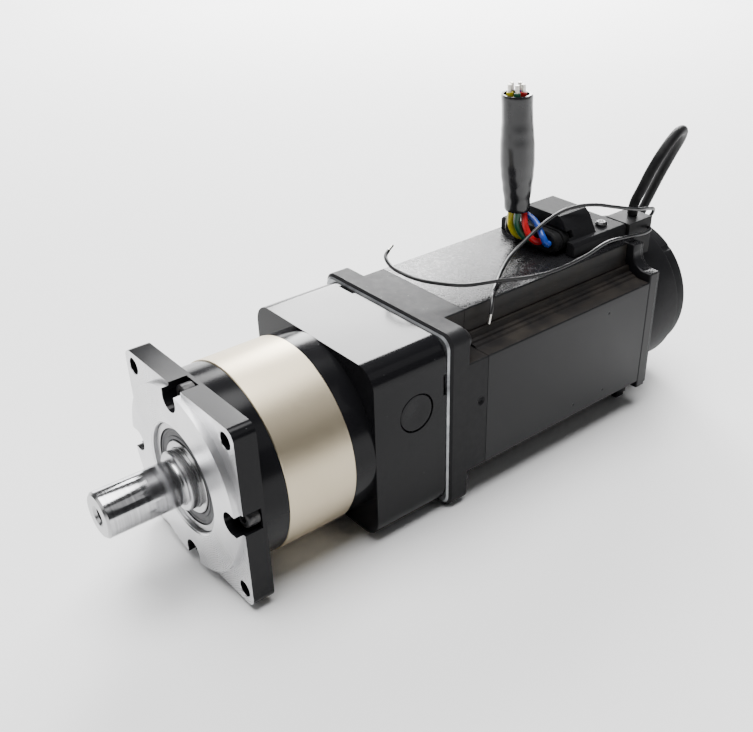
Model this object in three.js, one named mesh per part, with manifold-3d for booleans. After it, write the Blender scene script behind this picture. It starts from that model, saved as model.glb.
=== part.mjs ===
// Inline planetary gear reducer with its square drive motor and leads.
// Units are millimetres. The shaft axis runs along X, +X points from the output shaft to the
// rear of the motor, +Z is up, and the motor rests on its flat base at z = 0.
// Inside this file x is measured from the front face of the mounting flange, and y and z
// from the shaft axis. The outer group moves the whole to the centre of its own base.

import * as THREE from 'three';
import { mergeVertices } from 'three/addons/utils/BufferGeometryUtils.js';
import Module from 'manifold-3d';

const wasm = await Module();
wasm.setup();

// ---------------------------------------------------------------- driving dimensions
const GAP = 0.3; // clearance between pieces that touch on the real object

const SHAFT_TIP = -38;
const SHAFT_RADIUS = 9.5;
const BEARING_SEAT_RADIUS = 12.5;

const FLANGE_HALF = 41;
const FLANGE_CORNER = 4.5;
const FLANGE_THICKNESS = 9.4;
const PILOT_RADIUS = 40;
const PILOT_HEIGHT = 3;
const BOLT_OFFSET = 34.8; // half of the 69.6 mm square hole pattern
const FLANGE_HOLE_RADIUS = 3.5;
const HUB_END = 20;

const RING_RADIUS = 41.4;
const RING_END = 51.5;
const NECK_RADIUS = 41;
const NECK_END = 61.6;
const ADAPTER_HALF = 41;
const ADAPTER_CORNER = 9.5;
const ADAPTER_END = 99.1;

const MOTOR_HALF = 43;
const MOTOR_CORNER = 5.5;
const CHANNEL_FLAT = 27.5; // half width of each motor face between its corner channels
const MOTOR_FLANGE_END = 110;
const FRONT_BELL_END = 121;
const BODY_END = 227.7;
const REAR_BELL_END = 236;
const COVER_RADIUS = 39;
const COVER_STEP = 261;
const COVER_RIM_RADIUS = 36.5;
const REAR_END = 270;

const MODULE_SIZE = 1.25;
const SUN_TEETH = 12;
const PLANET_TEETH = 18;
const RING_TEETH = 48;
const PLANET_COUNT = 3;
const PLANET_ORBIT = MODULE_SIZE * (SUN_TEETH + PLANET_TEETH) / 2;
const PRESSURE_ANGLE = THREE.MathUtils.degToRad(20);
const BACKLASH = 0.24;

const SCREW_CIRCLE = 36.3; // radius of the four housing screws
const PLUG_X = 83.2;
const PLUG_Z = 14;
const PLUG_RADIUS = 8.5;

const CENTRE_X = (SHAFT_TIP + REAR_END) / 2;

// Sides of the round pieces, by size.
const LARGE = 36;
const MEDIUM = 24;
const SMALL = 20;
const TINY = 8;

// ---------------------------------------------------------------- materials
function material(colour, roughness, metalness) {
  return new THREE.MeshStandardMaterial({ color: colour, roughness, metalness });
}
const BLACK_ANODISED = material(0x17181a, 0.35, 0.6);
const BARE_ALUMINIUM = material(0xc9cacb, 0.28, 1);
const SATIN_NICKEL = material(0xc9c1ae, 0.38, 0.9);
const POLISHED_STEEL = material(0xb9babc, 0.16, 1);
const BEARING_STEEL = material(0x9c9d9f, 0.25, 1);
const BLACK_OXIDE = material(0x121213, 0.4, 0.8);
const MOTOR_PAINT = material(0x1b1c1e, 0.3, 0.2);
const GEAR_STEEL = material(0x777a7d, 0.35, 1);
const LAMINATION = material(0x55585c, 0.55, 0.8);
const COPPER = material(0xa65a2a, 0.4, 0.7);
const BLACK_PLASTIC = material(0x131314, 0.45, 0);
const CIRCUIT_GREEN = material(0x1d5a36, 0.5, 0);
const WIRE_COLOURS = {
  black: material(0x111112, 0.4, 0),
  yellow: material(0xd8c61a, 0.4, 0),
  green: material(0x12573a, 0.4, 0),
  red: material(0xc01d22, 0.4, 0),
  blue: material(0x1c4fa8, 0.4, 0),
};

// ---------------------------------------------------------------- solid helpers
function solid(geometry) {
  const bare = geometry.index ? geometry.toNonIndexed() : geometry.clone();
  bare.deleteAttribute('normal');
  bare.deleteAttribute('uv');
  const merged = mergeVertices(bare, 1e-4);
  return new wasm.Manifold(new wasm.Mesh({
    numProp: 3,
    vertProperties: new Float32Array(merged.attributes.position.array),
    triVerts: new Uint32Array(merged.index.array),
  }));
}

function geometryOf(manifold) {
  const mesh = manifold.getMesh();
  const geometry = new THREE.BufferGeometry();
  geometry.setAttribute('position', new THREE.BufferAttribute(mesh.vertProperties, 3));
  geometry.setIndex(new THREE.BufferAttribute(mesh.triVerts, 1));
  geometry.computeVertexNormals();
  return geometry;
}

function join(first, ...rest) {
  return rest.reduce((sum, piece) => sum.add(piece), first);
}

function cut(first, ...rest) {
  return rest.reduce((left, piece) => left.subtract(piece), first);
}

// A shape drawn with its first axis along Y and its second along Z, drawn out along X.
function alongX(shape, from, to) {
  const geometry = new THREE.ExtrudeGeometry(shape, {
    depth: to - from, bevelEnabled: false, curveSegments: 5,
  });
  geometry.applyMatrix4(new THREE.Matrix4().set(
    0, 0, 1, from,
    1, 0, 0, 0,
    0, 1, 0, 0,
    0, 0, 0, 1,
  ));
  return solid(geometry);
}

// A round bar along X.
function barX(radius, from, to, sides = MEDIUM, y = 0, z = 0) {
  const geometry = new THREE.CylinderGeometry(radius, radius, to - from, sides);
  geometry.rotateZ(-Math.PI / 2);
  geometry.translate((from + to) / 2, y, z);
  return solid(geometry);
}

// A round bar along Y.
function barY(radius, from, to, sides, x, z) {
  const geometry = new THREE.CylinderGeometry(radius, radius, to - from, sides);
  geometry.translate(x, (from + to) / 2, z);
  return solid(geometry);
}

// A solid of revolution about the X axis. Each point is [x, radius].
function turned(points, sides = MEDIUM) {
  const profile = points.map(([x, radius]) => new THREE.Vector2(radius, x));
  const geometry = new THREE.LatheGeometry(profile, sides);
  geometry.rotateZ(-Math.PI / 2);
  return solid(geometry);
}

// A tube about the X axis. Its profile closes on itself.
function sleeve(inner, outer, from, to, sides = SMALL) {
  return turned([[from, inner], [from, outer], [to, outer], [to, inner], [from, inner]], sides);
}

function block(x0, x1, y0, y1, z0, z1) {
  const geometry = new THREE.BoxGeometry(x1 - x0, y1 - y0, z1 - z0);
  geometry.translate((x0 + x1) / 2, (y0 + y1) / 2, (z0 + z1) / 2);
  return solid(geometry);
}

function roundedSquare(half, corner) {
  const shape = new THREE.Shape();
  const flat = half - corner;
  shape.absarc(flat, flat, corner, 0, Math.PI / 2);
  shape.absarc(-flat, flat, corner, Math.PI / 2, Math.PI);
  shape.absarc(-flat, -flat, corner, Math.PI, Math.PI * 1.5);
  shape.absarc(flat, -flat, corner, Math.PI * 1.5, Math.PI * 2);
  return shape;
}

// The motor's section: a square whose four corners are cut back into open channels.
function channelledSquare(half, flat, fillet) {
  const shape = new THREE.Shape();
  const edge = 1.2;
  for (let quarter = 0; quarter < 4; quarter += 1) {
    const turn = quarter * Math.PI / 2;
    const corner = [
      [half, -flat + edge], [half, flat - edge], [half - edge, flat],
    ];
    corner.forEach(([y, z]) => {
      const spot = new THREE.Vector2(y, z).rotateAround(new THREE.Vector2(), turn);
      if (shape.curves.length === 0 && shape.currentPoint.lengthSq() === 0) {
        shape.moveTo(spot.x, spot.y);
      } else {
        shape.lineTo(spot.x, spot.y);
      }
    });
    const centre = new THREE.Vector2(flat + fillet, flat + fillet);
    centre.rotateAround(new THREE.Vector2(), turn);
    shape.absarc(centre.x, centre.y, fillet, Math.PI * 1.5 + turn, Math.PI + turn, true);
    const next = new THREE.Vector2(flat, half - edge).rotateAround(new THREE.Vector2(), turn);
    shape.lineTo(next.x, next.y);
  }
  shape.closePath();
  return shape;
}

// ---------------------------------------------------------------- gear outlines
function involute(angle) {
  return Math.tan(angle) - angle;
}

// Half the angle that a tooth fills at one radius.
function toothHalfAngle(teeth, radius, thickness) {
  const pitch = MODULE_SIZE * teeth / 2;
  const base = pitch * Math.cos(PRESSURE_ANGLE);
  const slope = Math.acos(Math.min(1, base / Math.max(radius, base)));
  return thickness / (2 * pitch) + involute(PRESSURE_ANGLE) - involute(slope);
}

// An outline of involute teeth. A ring gear's outline is that of the space inside it.
function gearShape(teeth, outward, inward, thickness, turn) {
  const pitch = MODULE_SIZE * teeth / 2;
  const radii = [pitch - inward, pitch + outward];
  const shape = new THREE.Shape();
  for (let tooth = 0; tooth < teeth; tooth += 1) {
    const middle = turn + tooth * 2 * Math.PI / teeth;
    const rising = radii.map((radius) => [radius, -toothHalfAngle(teeth, radius, thickness)]);
    const falling = [...radii].reverse()
      .map((radius) => [radius, toothHalfAngle(teeth, radius, thickness)]);
    [...rising, ...falling].forEach(([radius, offset], index) => {
      const y = radius * Math.cos(middle + offset);
      const z = radius * Math.sin(middle + offset);
      if (tooth === 0 && index === 0) {
        shape.moveTo(y, z);
      } else {
        shape.lineTo(y, z);
      }
    });
  }
  shape.closePath();
  return shape;
}

const HALF_PITCH = Math.PI * MODULE_SIZE / 2;

// ---------------------------------------------------------------- scene graph helpers
const reducer = new THREE.Group();
reducer.position.set(-CENTRE_X, 0, MOTOR_HALF);

function add(name, shape, finish, parent = reducer) {
  const geometry = shape instanceof THREE.BufferGeometry ? shape : geometryOf(shape);
  const mesh = new THREE.Mesh(geometry, finish);
  mesh.name = name;
  parent.add(mesh);
  return mesh;
}

// ---------------------------------------------------------------- reducer housings
const QUARTERS = [0, 1, 2, 3].map((index) => index * Math.PI / 2);
const CORNERS = [[1, 1], [-1, 1], [-1, -1], [1, -1]];
const SCREW_SHANK = 2.5;
const SCREW_HEAD = 4.25;
const COUNTERBORE_RADIUS = 4.9;
const COUNTERBORE_DEPTH = 7.8;

function outputHousing() {
  let body = join(
    alongX(roundedSquare(FLANGE_HALF, FLANGE_CORNER), 0, FLANGE_THICKNESS),
    turned([[-PILOT_HEIGHT, 0], [-PILOT_HEIGHT, PILOT_RADIUS - 0.6],
      [-PILOT_HEIGHT + 0.6, PILOT_RADIUS], [1, PILOT_RADIUS], [1, 0]], LARGE),
    barX(FLANGE_HALF, FLANGE_THICKNESS - 1, HUB_END, LARGE),
    barX(28.2, HUB_END - 1, 22.6),
  );
  const bearingBores = turned([
    [-PILOT_HEIGHT - 1, 0], [-PILOT_HEIGHT - 1, 25], [-PILOT_HEIGHT, 24], [-PILOT_HEIGHT + 0.5, 23.5],
    [11.3, 23.5], [11.3, 19.5], [12.6, 19.5], [12.6, 21], [24, 21], [24, 0],
  ]);
  body = cut(body, bearingBores);
  CORNERS.forEach(([y, z]) => {
    const mouth = new THREE.CylinderGeometry(FLANGE_HOLE_RADIUS, FLANGE_HOLE_RADIUS + 1, 1, TINY);
    mouth.rotateZ(-Math.PI / 2);
    mouth.translate(0, y * BOLT_OFFSET, z * BOLT_OFFSET);
    body = cut(
      body,
      barX(FLANGE_HOLE_RADIUS, -5, 15, TINY, y * BOLT_OFFSET, z * BOLT_OFFSET),
      solid(mouth),
    );
  });
  QUARTERS.forEach((turn) => {
    const seat = join(
      barX(COUNTERBORE_RADIUS, -5, COUNTERBORE_DEPTH, 16, SCREW_CIRCLE, 0),
      block(-5, COUNTERBORE_DEPTH, SCREW_CIRCLE, 50, -4.6, 4.6),
      barX(SCREW_SHANK + GAP, -5, HUB_END + 5, TINY, SCREW_CIRCLE, 0),
    );
    body = cut(body, seat.rotate([THREE.MathUtils.radToDeg(turn), 0, 0]));
  });
  return body;
}

function ringGear() {
  const space = gearShape(
    RING_TEETH,
    MODULE_SIZE * 1.2,
    MODULE_SIZE * 0.8,
    HALF_PITCH + BACKLASH,
    Math.PI / RING_TEETH,
  );
  let ring = cut(
    turned([[HUB_END + 0.02, 0], [HUB_END + 0.02, RING_RADIUS - 0.5], [HUB_END + 0.5, RING_RADIUS],
      [RING_END - 0.5, RING_RADIUS], [RING_END, RING_RADIUS - 0.5], [RING_END, 0]], LARGE),
    alongX(space, HUB_END - 2, RING_END + 2),
  );
  QUARTERS.forEach((turn) => {
    const hole = barX(SCREW_SHANK + GAP, HUB_END - 5, 35, TINY, SCREW_CIRCLE, 0);
    ring = cut(ring, hole.rotate([THREE.MathUtils.radToDeg(turn), 0, 0]));
  });
  return ring;
}

function socketScrew(headFrom, headLength, shankTo, headRadius, shankRadius) {
  const socket = new THREE.CylinderGeometry(headRadius * 0.56, headRadius * 0.56, headLength, 6);
  socket.rotateZ(-Math.PI / 2);
  socket.translate(headFrom, 0, 0);
  return cut(
    turned([[headFrom, 0], [headFrom, headRadius], [headFrom + headLength, headRadius],
      [headFrom + headLength, shankRadius], [shankTo, shankRadius], [shankTo, 0]], TINY),
    solid(socket),
  );
}

function inputHousing() {
  const body = join(
    turned([[RING_END + 0.02, 0], [RING_END + 0.02, NECK_RADIUS - 0.5], [RING_END + 0.5, NECK_RADIUS],
      [NECK_END + 1, NECK_RADIUS], [NECK_END + 1, 0]], LARGE),
    alongX(roundedSquare(ADAPTER_HALF, ADAPTER_CORNER), NECK_END, ADAPTER_END),
  );
  let housing = cut(
    body,
    turned([
      [RING_END - 1, 0], [RING_END - 1, 17], [55, 17], [55, 23.5], [64.3, 23.5], [64.3, 29],
      [96.4, 29], [96.4, 36.8], [ADAPTER_END + 1, 36.8], [ADAPTER_END + 1, 0],
    ]),
    barY(PLUG_RADIUS + GAP, -ADAPTER_HALF - 1, -ADAPTER_HALF + 3.2, SMALL, PLUG_X, PLUG_Z),
    barY(PLUG_RADIUS - 1.5, -ADAPTER_HALF - 1, -20, SMALL, PLUG_X, PLUG_Z),
  );
  CORNERS.forEach(([y, z]) => {
    const hole = barX(SCREW_SHANK + GAP, 80, ADAPTER_END + 2, TINY, y * BOLT_OFFSET, z * BOLT_OFFSET);
    housing = cut(housing, hole);
  });
  const prySlotDepth = 1.6;
  return cut(
    housing,
    block(ADAPTER_END - 1.6, ADAPTER_END + 1, 19, 29, ADAPTER_HALF - prySlotDepth, ADAPTER_HALF + 1),
    block(ADAPTER_END - 1.6, ADAPTER_END + 1, -ADAPTER_HALF - 1, -ADAPTER_HALF + prySlotDepth, 16.5, 26.5),
  );
}

function accessPlug() {
  const outer = -ADAPTER_HALF + 0.15;
  return join(
    barY(PLUG_RADIUS, outer, outer + 2.6, SMALL, PLUG_X, PLUG_Z),
    barY(PLUG_RADIUS - 1.5 - GAP, outer + 2, outer + 7, SMALL, PLUG_X, PLUG_Z),
  );
}

// ---------------------------------------------------------------- bearings
const OUTPUT_BEARING = { inner: 12.5, outer: 23.5, from: -1, to: 11.2 };
const CARRIER_BEARING = { inner: 12.5, outer: 21, from: 13, to: 22 };
const INPUT_BEARING = { inner: 15, outer: 23.5, from: 55.2, to: 64.2 };
const MOTOR_FRONT_BEARING = { inner: 10, outer: 21, from: 103, to: 115 };
const MOTOR_REAR_BEARING = { inner: 8.5, outer: 17.5, from: 228.5, to: 235 };

// Keeps each race off its shaft and off its housing.
const RACE_CLEARANCE = 0.25;

function innerRace({ inner, outer, from, to }) {
  const land = inner + (outer - inner) * 0.27;
  return sleeve(inner + RACE_CLEARANCE, land, from, to);
}

function outerRace({ inner, outer, from, to }) {
  const land = outer - (outer - inner) * 0.27;
  return sleeve(land, outer - RACE_CLEARANCE, from, to);
}

function bearingShield({ inner, outer, from }) {
  const reach = outer - inner;
  return sleeve(inner + reach * 0.27 + GAP, outer - reach * 0.27 - 0.05, from + 0.6, from + 1.4);
}

// ---------------------------------------------------------------- gear train
function outputShaft() {
  const tapRadius = 2.6;
  const body = turned([
    [SHAFT_TIP, 0], [SHAFT_TIP, SHAFT_RADIUS - 0.9], [SHAFT_TIP + 0.9, SHAFT_RADIUS],
    [-5.5, SHAFT_RADIUS], [-5.5, BEARING_SEAT_RADIUS - 0.5], [-5, BEARING_SEAT_RADIUS],
    [22.7, BEARING_SEAT_RADIUS], [22.7, 15], [23.4, 15], [23.4, 27.5], [28.6, 27.5], [28.6, 0],
  ]);
  let shaft = cut(body, turned([
    [SHAFT_TIP - 1, 0], [SHAFT_TIP - 1, 4.3], [SHAFT_TIP + 1.5, tapRadius],
    [SHAFT_TIP + 16, tapRadius], [SHAFT_TIP + 17.4, 0],
  ], TINY));
  planetAngles().forEach((angle) => {
    const [y, z] = orbitPoint(angle);
    shaft = cut(shaft, barX(3.5 + GAP, 24, 30, TINY, y, z));
  });
  return shaft;
}

function planetAngles() {
  return Array.from({ length: PLANET_COUNT }, (unused, index) => (
    Math.PI / 2 + index * 2 * Math.PI / PLANET_COUNT
  ));
}

function orbitPoint(angle) {
  return [PLANET_ORBIT * Math.cos(angle), PLANET_ORBIT * Math.sin(angle)];
}

function carrierPlate() {
  let plate = sleeve(9, 27.5, 46.9, 51, MEDIUM);
  planetAngles().forEach((angle) => {
    const [y, z] = orbitPoint(angle);
    plate = cut(plate, barX(3.5 + GAP, 45, 53, TINY, y, z));
  });
  return plate;
}

// Turns a planet so that one of its tooth spaces meets a tooth of the sun.
function planetTurn(angle) {
  const meshFace = angle + Math.PI;
  const sunPhase = (angle * SUN_TEETH) / (2 * Math.PI);
  const planetPhase = 0.5 - sunPhase;
  return meshFace + planetPhase * 2 * Math.PI / PLANET_TEETH;
}

function planetGear(angle) {
  const [y, z] = orbitPoint(angle);
  const shape = gearShape(
    PLANET_TEETH,
    MODULE_SIZE * 0.9,
    MODULE_SIZE * 1.2,
    HALF_PITCH - BACKLASH,
    planetTurn(angle),
  );
  const gear = cut(alongX(shape, 29.6, 45.9), barX(3.85, 28, 47, TINY));
  return gear.translate([0, y, z]);
}

function sunGear() {
  const shape = gearShape(
    SUN_TEETH,
    MODULE_SIZE * 0.9,
    MODULE_SIZE * 1.2,
    HALF_PITCH - BACKLASH,
    0,
  );
  return join(alongX(shape, 29.3, 47.5), barX(5.4, 47, 67, 16));
}

function clampHub() {
  const body = turned([
    [52.5, 0], [52.5, 14.5], [53, 15], [66, 15], [66, 25], [67, 26], [94.5, 26], [95.5, 25], [95.5, 0],
  ]);
  return cut(
    body,
    barX(5.7, 50, 68.5, 16),
    barX(SHAFT_RADIUS + GAP, 71, 97, MEDIUM),
    barX(4, 67, 72, TINY),
    block(73, 97, -0.8, 0.8, 0, 30),
    barY(3.1, -30, 30, TINY, PLUG_X, PLUG_Z + 3.5),
    barY(5.3, -30, -11, 16, PLUG_X, PLUG_Z + 3.5),
  );
}

function clampScrew() {
  const screw = socketScrew(-17, 5.6, 17, 5, 2.8);
  return screw.rotate([0, 0, 90]).translate([PLUG_X, 0, PLUG_Z + 3.5]);
}

// ---------------------------------------------------------------- motor
function motorHoles(from, to, radius) {
  return CORNERS.map(([y, z]) => barX(radius, from, to, TINY, y * BOLT_OFFSET, z * BOLT_OFFSET));
}

function motorFrontBell() {
  const flangeFace = ADAPTER_END + GAP;
  const chamfer = 1.8;
  const lead = new THREE.ExtrudeGeometry(roundedSquare(MOTOR_HALF - chamfer, MOTOR_CORNER), {
    depth: MOTOR_FLANGE_END - flangeFace - chamfer,
    bevelEnabled: true,
    bevelThickness: chamfer,
    bevelSize: chamfer,
    bevelSegments: 1,
    curveSegments: 5,
  });
  lead.applyMatrix4(new THREE.Matrix4().set(
    0, 0, 1, flangeFace + chamfer,
    1, 0, 0, 0,
    0, 1, 0, 0,
    0, 0, 0, 1,
  ));
  const flange = cut(solid(lead), block(MOTOR_FLANGE_END, 130, -60, 60, -60, 60));
  const bell = alongX(channelledSquare(MOTOR_HALF, CHANNEL_FLAT, 6), MOTOR_FLANGE_END - 1, FRONT_BELL_END);
  return cut(
    join(flange, bell, barX(36.5, 96.8, flangeFace + 1, MEDIUM)),
    turned([
      [95, 0], [95, 14], [102.8, 14], [102.8, 21], [115.2, 21], [115.2, 33], [123, 33], [123, 0],
    ]),
    ...motorHoles(98, 112, SCREW_SHANK + GAP),
    barY(1.6, -MOTOR_HALF - 1, -MOTOR_HALF + 1.5, TINY, 117.5, 6.7),
  );
}

function motorBody() {
  const shape = channelledSquare(MOTOR_HALF, CHANNEL_FLAT, 6);
  const dimples = [[199, 21], [179, -21], [200, -21]].map(([x, z]) => (
    barY(0.7, -MOTOR_HALF - 1, -MOTOR_HALF + 0.5, 8, x, z)
  ));
  return cut(
    alongX(shape, FRONT_BELL_END + GAP, BODY_END),
    barX(36, FRONT_BELL_END - 1, BODY_END + 1, MEDIUM),
    block(200, 222, -8, 8, 30, 50),
    ...dimples,
  );
}

function motorRearBell() {
  return cut(
    alongX(channelledSquare(MOTOR_HALF, CHANNEL_FLAT + 4, 8), BODY_END + GAP, REAR_BELL_END),
    turned([
      [BODY_END - 1, 0], [BODY_END - 1, 17.5], [235.2, 17.5], [235.2, 11], [238, 11], [238, 0],
    ]),
  );
}

function rearCover() {
  const from = REAR_BELL_END + GAP;
  const shell = turned([
    [from, 0], [from, COVER_RADIUS], [COVER_STEP - 0.8, COVER_RADIUS], [COVER_STEP, COVER_RADIUS - 0.8],
    [COVER_STEP, COVER_RIM_RADIUS], [REAR_END - 1, COVER_RIM_RADIUS], [REAR_END, COVER_RIM_RADIUS - 1],
    [REAR_END, 0],
  ], LARGE);
  const inside = turned([
    [from - 1, 0], [from - 1, COVER_RADIUS - 3], [COVER_STEP - 3, COVER_RADIUS - 3],
    [COVER_STEP - 3, COVER_RIM_RADIUS - 3], [REAR_END - 5, COVER_RIM_RADIUS - 3], [REAR_END - 5, 0],
  ]);
  const rimNotch = block(COVER_STEP + 1, REAR_END + 1, -2.5, 2.5, COVER_RIM_RADIUS - 1.6, 42);
  const nearSide = THREE.MathUtils.radToDeg(Math.atan2(22, 27));
  let cover = cut(shell, inside, rimNotch.rotate([nearSide, 0, 0]));
  COVER_SCREW_ANGLES.forEach((angle) => {
    const [y, z] = coverScrewPoint(angle);
    cover = cut(
      cover,
      barX(1.5 + GAP, REAR_END - 7, REAR_END + 1, TINY, y, z),
      barX(2.8 + GAP, REAR_END - 2.5, REAR_END + 1, SMALL, y, z),
    );
  });
  return cover;
}

const COVER_SCREW_ANGLES = [Math.PI / 4, Math.PI * 1.25];

function coverScrewPoint(angle) {
  return [29 * Math.cos(angle), 29 * Math.sin(angle)];
}

function coverScrew(angle) {
  const [y, z] = coverScrewPoint(angle);
  const screw = socketScrew(0, 2.2, 9, 2.8, 1.5);
  return screw.rotate([0, 0, 180]).translate([REAR_END - 0.1, y, z]);
}

const SLOT_COUNT = 12;

function statorCore() {
  const slots = [];
  for (let slot = 0; slot < SLOT_COUNT; slot += 1) {
    const blade = block(128, 222, 20, 31.5, -1.4, 1.4);
    slots.push(blade.rotate([slot * 360 / SLOT_COUNT, 0, 0]));
  }
  return cut(sleeve(21.5, 35.6, 132, 214, MEDIUM), ...slots);
}

// The copper: a ring at each end, joined by a bar through every slot.
function statorWinding() {
  const bars = [];
  for (let slot = 0; slot < SLOT_COUNT; slot += 1) {
    const bar = block(130, 216, 25, 31, -1, 1);
    bars.push(bar.rotate([slot * 360 / SLOT_COUNT, 0, 0]));
  }
  return join(sleeve(24, 33.5, 122.5, 131.5), sleeve(24, 33.5, 214.5, 224), ...bars);
}

function rotorCore() {
  return sleeve(10.3, 20.8, 133, 213);
}

function motorShaft() {
  return turned([
    [73.5, 0], [73.5, 9], [74, 9.5], [97, 9.5], [97, 9.9], [121, 9.9], [121, 10], [227, 10],
    [227, 8.4], [240, 8.4], [240, 5], [252, 5], [252, 0],
  ]);
}

function encoderDisc() {
  return sleeve(5.3, 24, 249.5, 251);
}

function encoderBoard() {
  return sleeve(12, 30, 243, 244.6);
}

// ---------------------------------------------------------------- lead entry pieces
const TOP = MOTOR_HALF + 0.05;

function leadCover() {
  const skirt = block(194.5, 232, -22.7, 25, TOP, 50);
  const deck = new THREE.Shape();
  deck.moveTo(-20.5, 48);
  deck.lineTo(-13.5, 58.5);
  deck.lineTo(-11, 60);
  deck.lineTo(10, 60);
  deck.lineTo(14, 48);
  deck.closePath();
  return cut(
    join(skirt, alongX(deck, 195.5, 214)),
    block(198, 229, -19, 21, TOP - 1, 47.5),
    block(192, 199, -18, 15, TOP - 1, 54),
    barZ(1.8, 46, 52, TINY, 222, -15),
  );
}

function barZ(radius, from, to, sides, x, y) {
  const geometry = new THREE.CylinderGeometry(radius, radius, to - from, sides);
  geometry.rotateX(Math.PI / 2);
  geometry.translate(x, y, (from + to) / 2);
  return solid(geometry);
}

function leadCoverScrew() {
  return socketScrew(0, 1.8, 5.5, 3, 1.4).rotate([0, 90, 0]).translate([222, -15, 52.1]);
}

function leadGrommet() {
  const outline = new THREE.Shape();
  outline.absarc(8.5, TOP + GAP + 5.2, 5.2, -Math.PI / 2, Math.PI / 2);
  outline.absarc(-11.5, TOP + GAP + 5.2, 5.2, Math.PI / 2, Math.PI * 1.5);
  return alongX(outline, 189, 198.5);
}

function encoderBoot() {
  const upper = block(232.4, 250, -24, -9, TOP, 50);
  const lower = block(REAR_BELL_END + 0.5, 250, -24, -9, 28, TOP + 1);
  return cut(join(upper, lower), barX(COVER_RADIUS + GAP, 228, 252, LARGE));
}

function encoderConnector() {
  const shell = block(195, 221.2, 66, 82, -MOTOR_HALF, -31.5);
  return cut(shell, block(190, 201, 68, 80, -MOTOR_HALF + 2, -33.5));
}

// ---------------------------------------------------------------- cords
// Each route is a list of points on the cord's centre line, from its exit to its far end.
const CONDUCTOR_RADIUS = 1.5;
const WIRE_RADIUS = 0.85;
const CABLE_RADIUS = 2.5;
const SLEEVE_FOOT = [184, 4.5, 62];
const SLEEVE_HEAD = [182.5, 7, 115];

const EXIT_X = 188.5;

// From the grommet's face, through two points chosen by hand, to its own seat in the sleeve.
function conductorRoute([y, z], shoulder, rise, seatDegrees) {
  const spread = 3.2;
  const seat = THREE.MathUtils.degToRad(seatDegrees);
  const across = [spread * Math.cos(seat), spread * Math.sin(seat)];
  const inSleeve = [0, 0.35, 0.7, 1.08].map((share) => (
    SLEEVE_FOOT.map((value, axis) => (
      value + (SLEEVE_HEAD[axis] - value) * share + (axis < 2 ? across[axis] : 0)
    ))
  ));
  return [[EXIT_X, y, z], [EXIT_X - 1.5, y, z], shoulder, rise, ...inSleeve];
}

const CONDUCTOR_ROUTES = {
  yellow: conductorRoute([4, 48], [183.6, 4.8, 50], [181, 5.7, 55.5], 158),
  green: conductorRoute([-1.5, 48], [183.8, -0.4, 50.2], [181.4, 1.8, 56], 230),
  red: conductorRoute([-7, 48.4], [184.2, -5, 50.6], [183.5, -1.6, 55.8], 298),
  blue: conductorRoute([-12.5, 49], [186, -10.8, 52.1], [188.6, -3.2, 56.8], 16),
  black: conductorRoute([9.5, 48], [184.6, 9.9, 50], [183.6, 9.2, 55.5], 86),
};

const SIGNAL_WIRE_1 = [
  [247, -24.3, 45], [246, -26.4, 45], [241, -27.8, 44.9], [229, -27.4, 46], [212, -27.9, 48],
  [194, -29.7, 46.6], [174, -29, 45.2], [162, -27, 45.4], [146, -22, 46.6], [130, -18.3, 48.2],
  [120, -12.6, 50.2], [113.4, -6.8, 52], [110.4, 1, 53.4], [110.8, 8.5, 54], [113.6, 15.2, 55.4],
  [121, 19.4, 57],
];

const SIGNAL_WIRE_2 = [
  [250.3, -18, 45.5], [253, -18.3, 45.8], [255.6, -19.4, 48.2], [254.6, -20.8, 51.3],
  [249, -22, 53.4], [237.5, -23.6, 56.4], [222, -21.5, 61], [214.6, -18.3, 62.9],
  [207, -14.6, 63.4], [198, -11.2, 62.2], [188.7, -8.6, 58], [176.7, -7.8, 52],
  [164, -10.4, 47.6], [151.4, -17.2, 44.8], [141.5, -24.2, 44.1], [136, -28.9, 43.6],
  [133, -31.6, 40.4], [131.4, -32, 34.6],
];

const ENCODER_CABLE = [
  [243, -17, 50.3], [243.2, -17.3, 56], [245, -19.5, 64], [249, -21, 73], [256, -21.5, 81],
  [266, -20, 86], [277, -16, 85], [287, -9, 78], [294, 0, 66], [298, 9, 50], [300, 18, 30],
  [300, 26, 8], [299, 34, -12], [296, 43, -28], [290, 53, -37.4], [281, 62, -40.2],
  [268, 69, -40.3], [252, 73, -40.3], [236, 74, -39.4], [221.5, 74, -37.5],
];

function cord(route, radius, sides, steps) {
  const points = route.map(([x, y, z]) => new THREE.Vector3(x, y, z));
  const section = new THREE.Shape();
  for (let side = 0; side < sides; side += 1) {
    const turn = side * 2 * Math.PI / sides;
    const method = side === 0 ? 'moveTo' : 'lineTo';
    section[method](radius * Math.cos(turn), radius * Math.sin(turn));
  }
  section.closePath();
  return solid(new THREE.ExtrudeGeometry(section, {
    extrudePath: new THREE.CatmullRomCurve3(points), steps, bevelEnabled: false,
  }));
}

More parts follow.
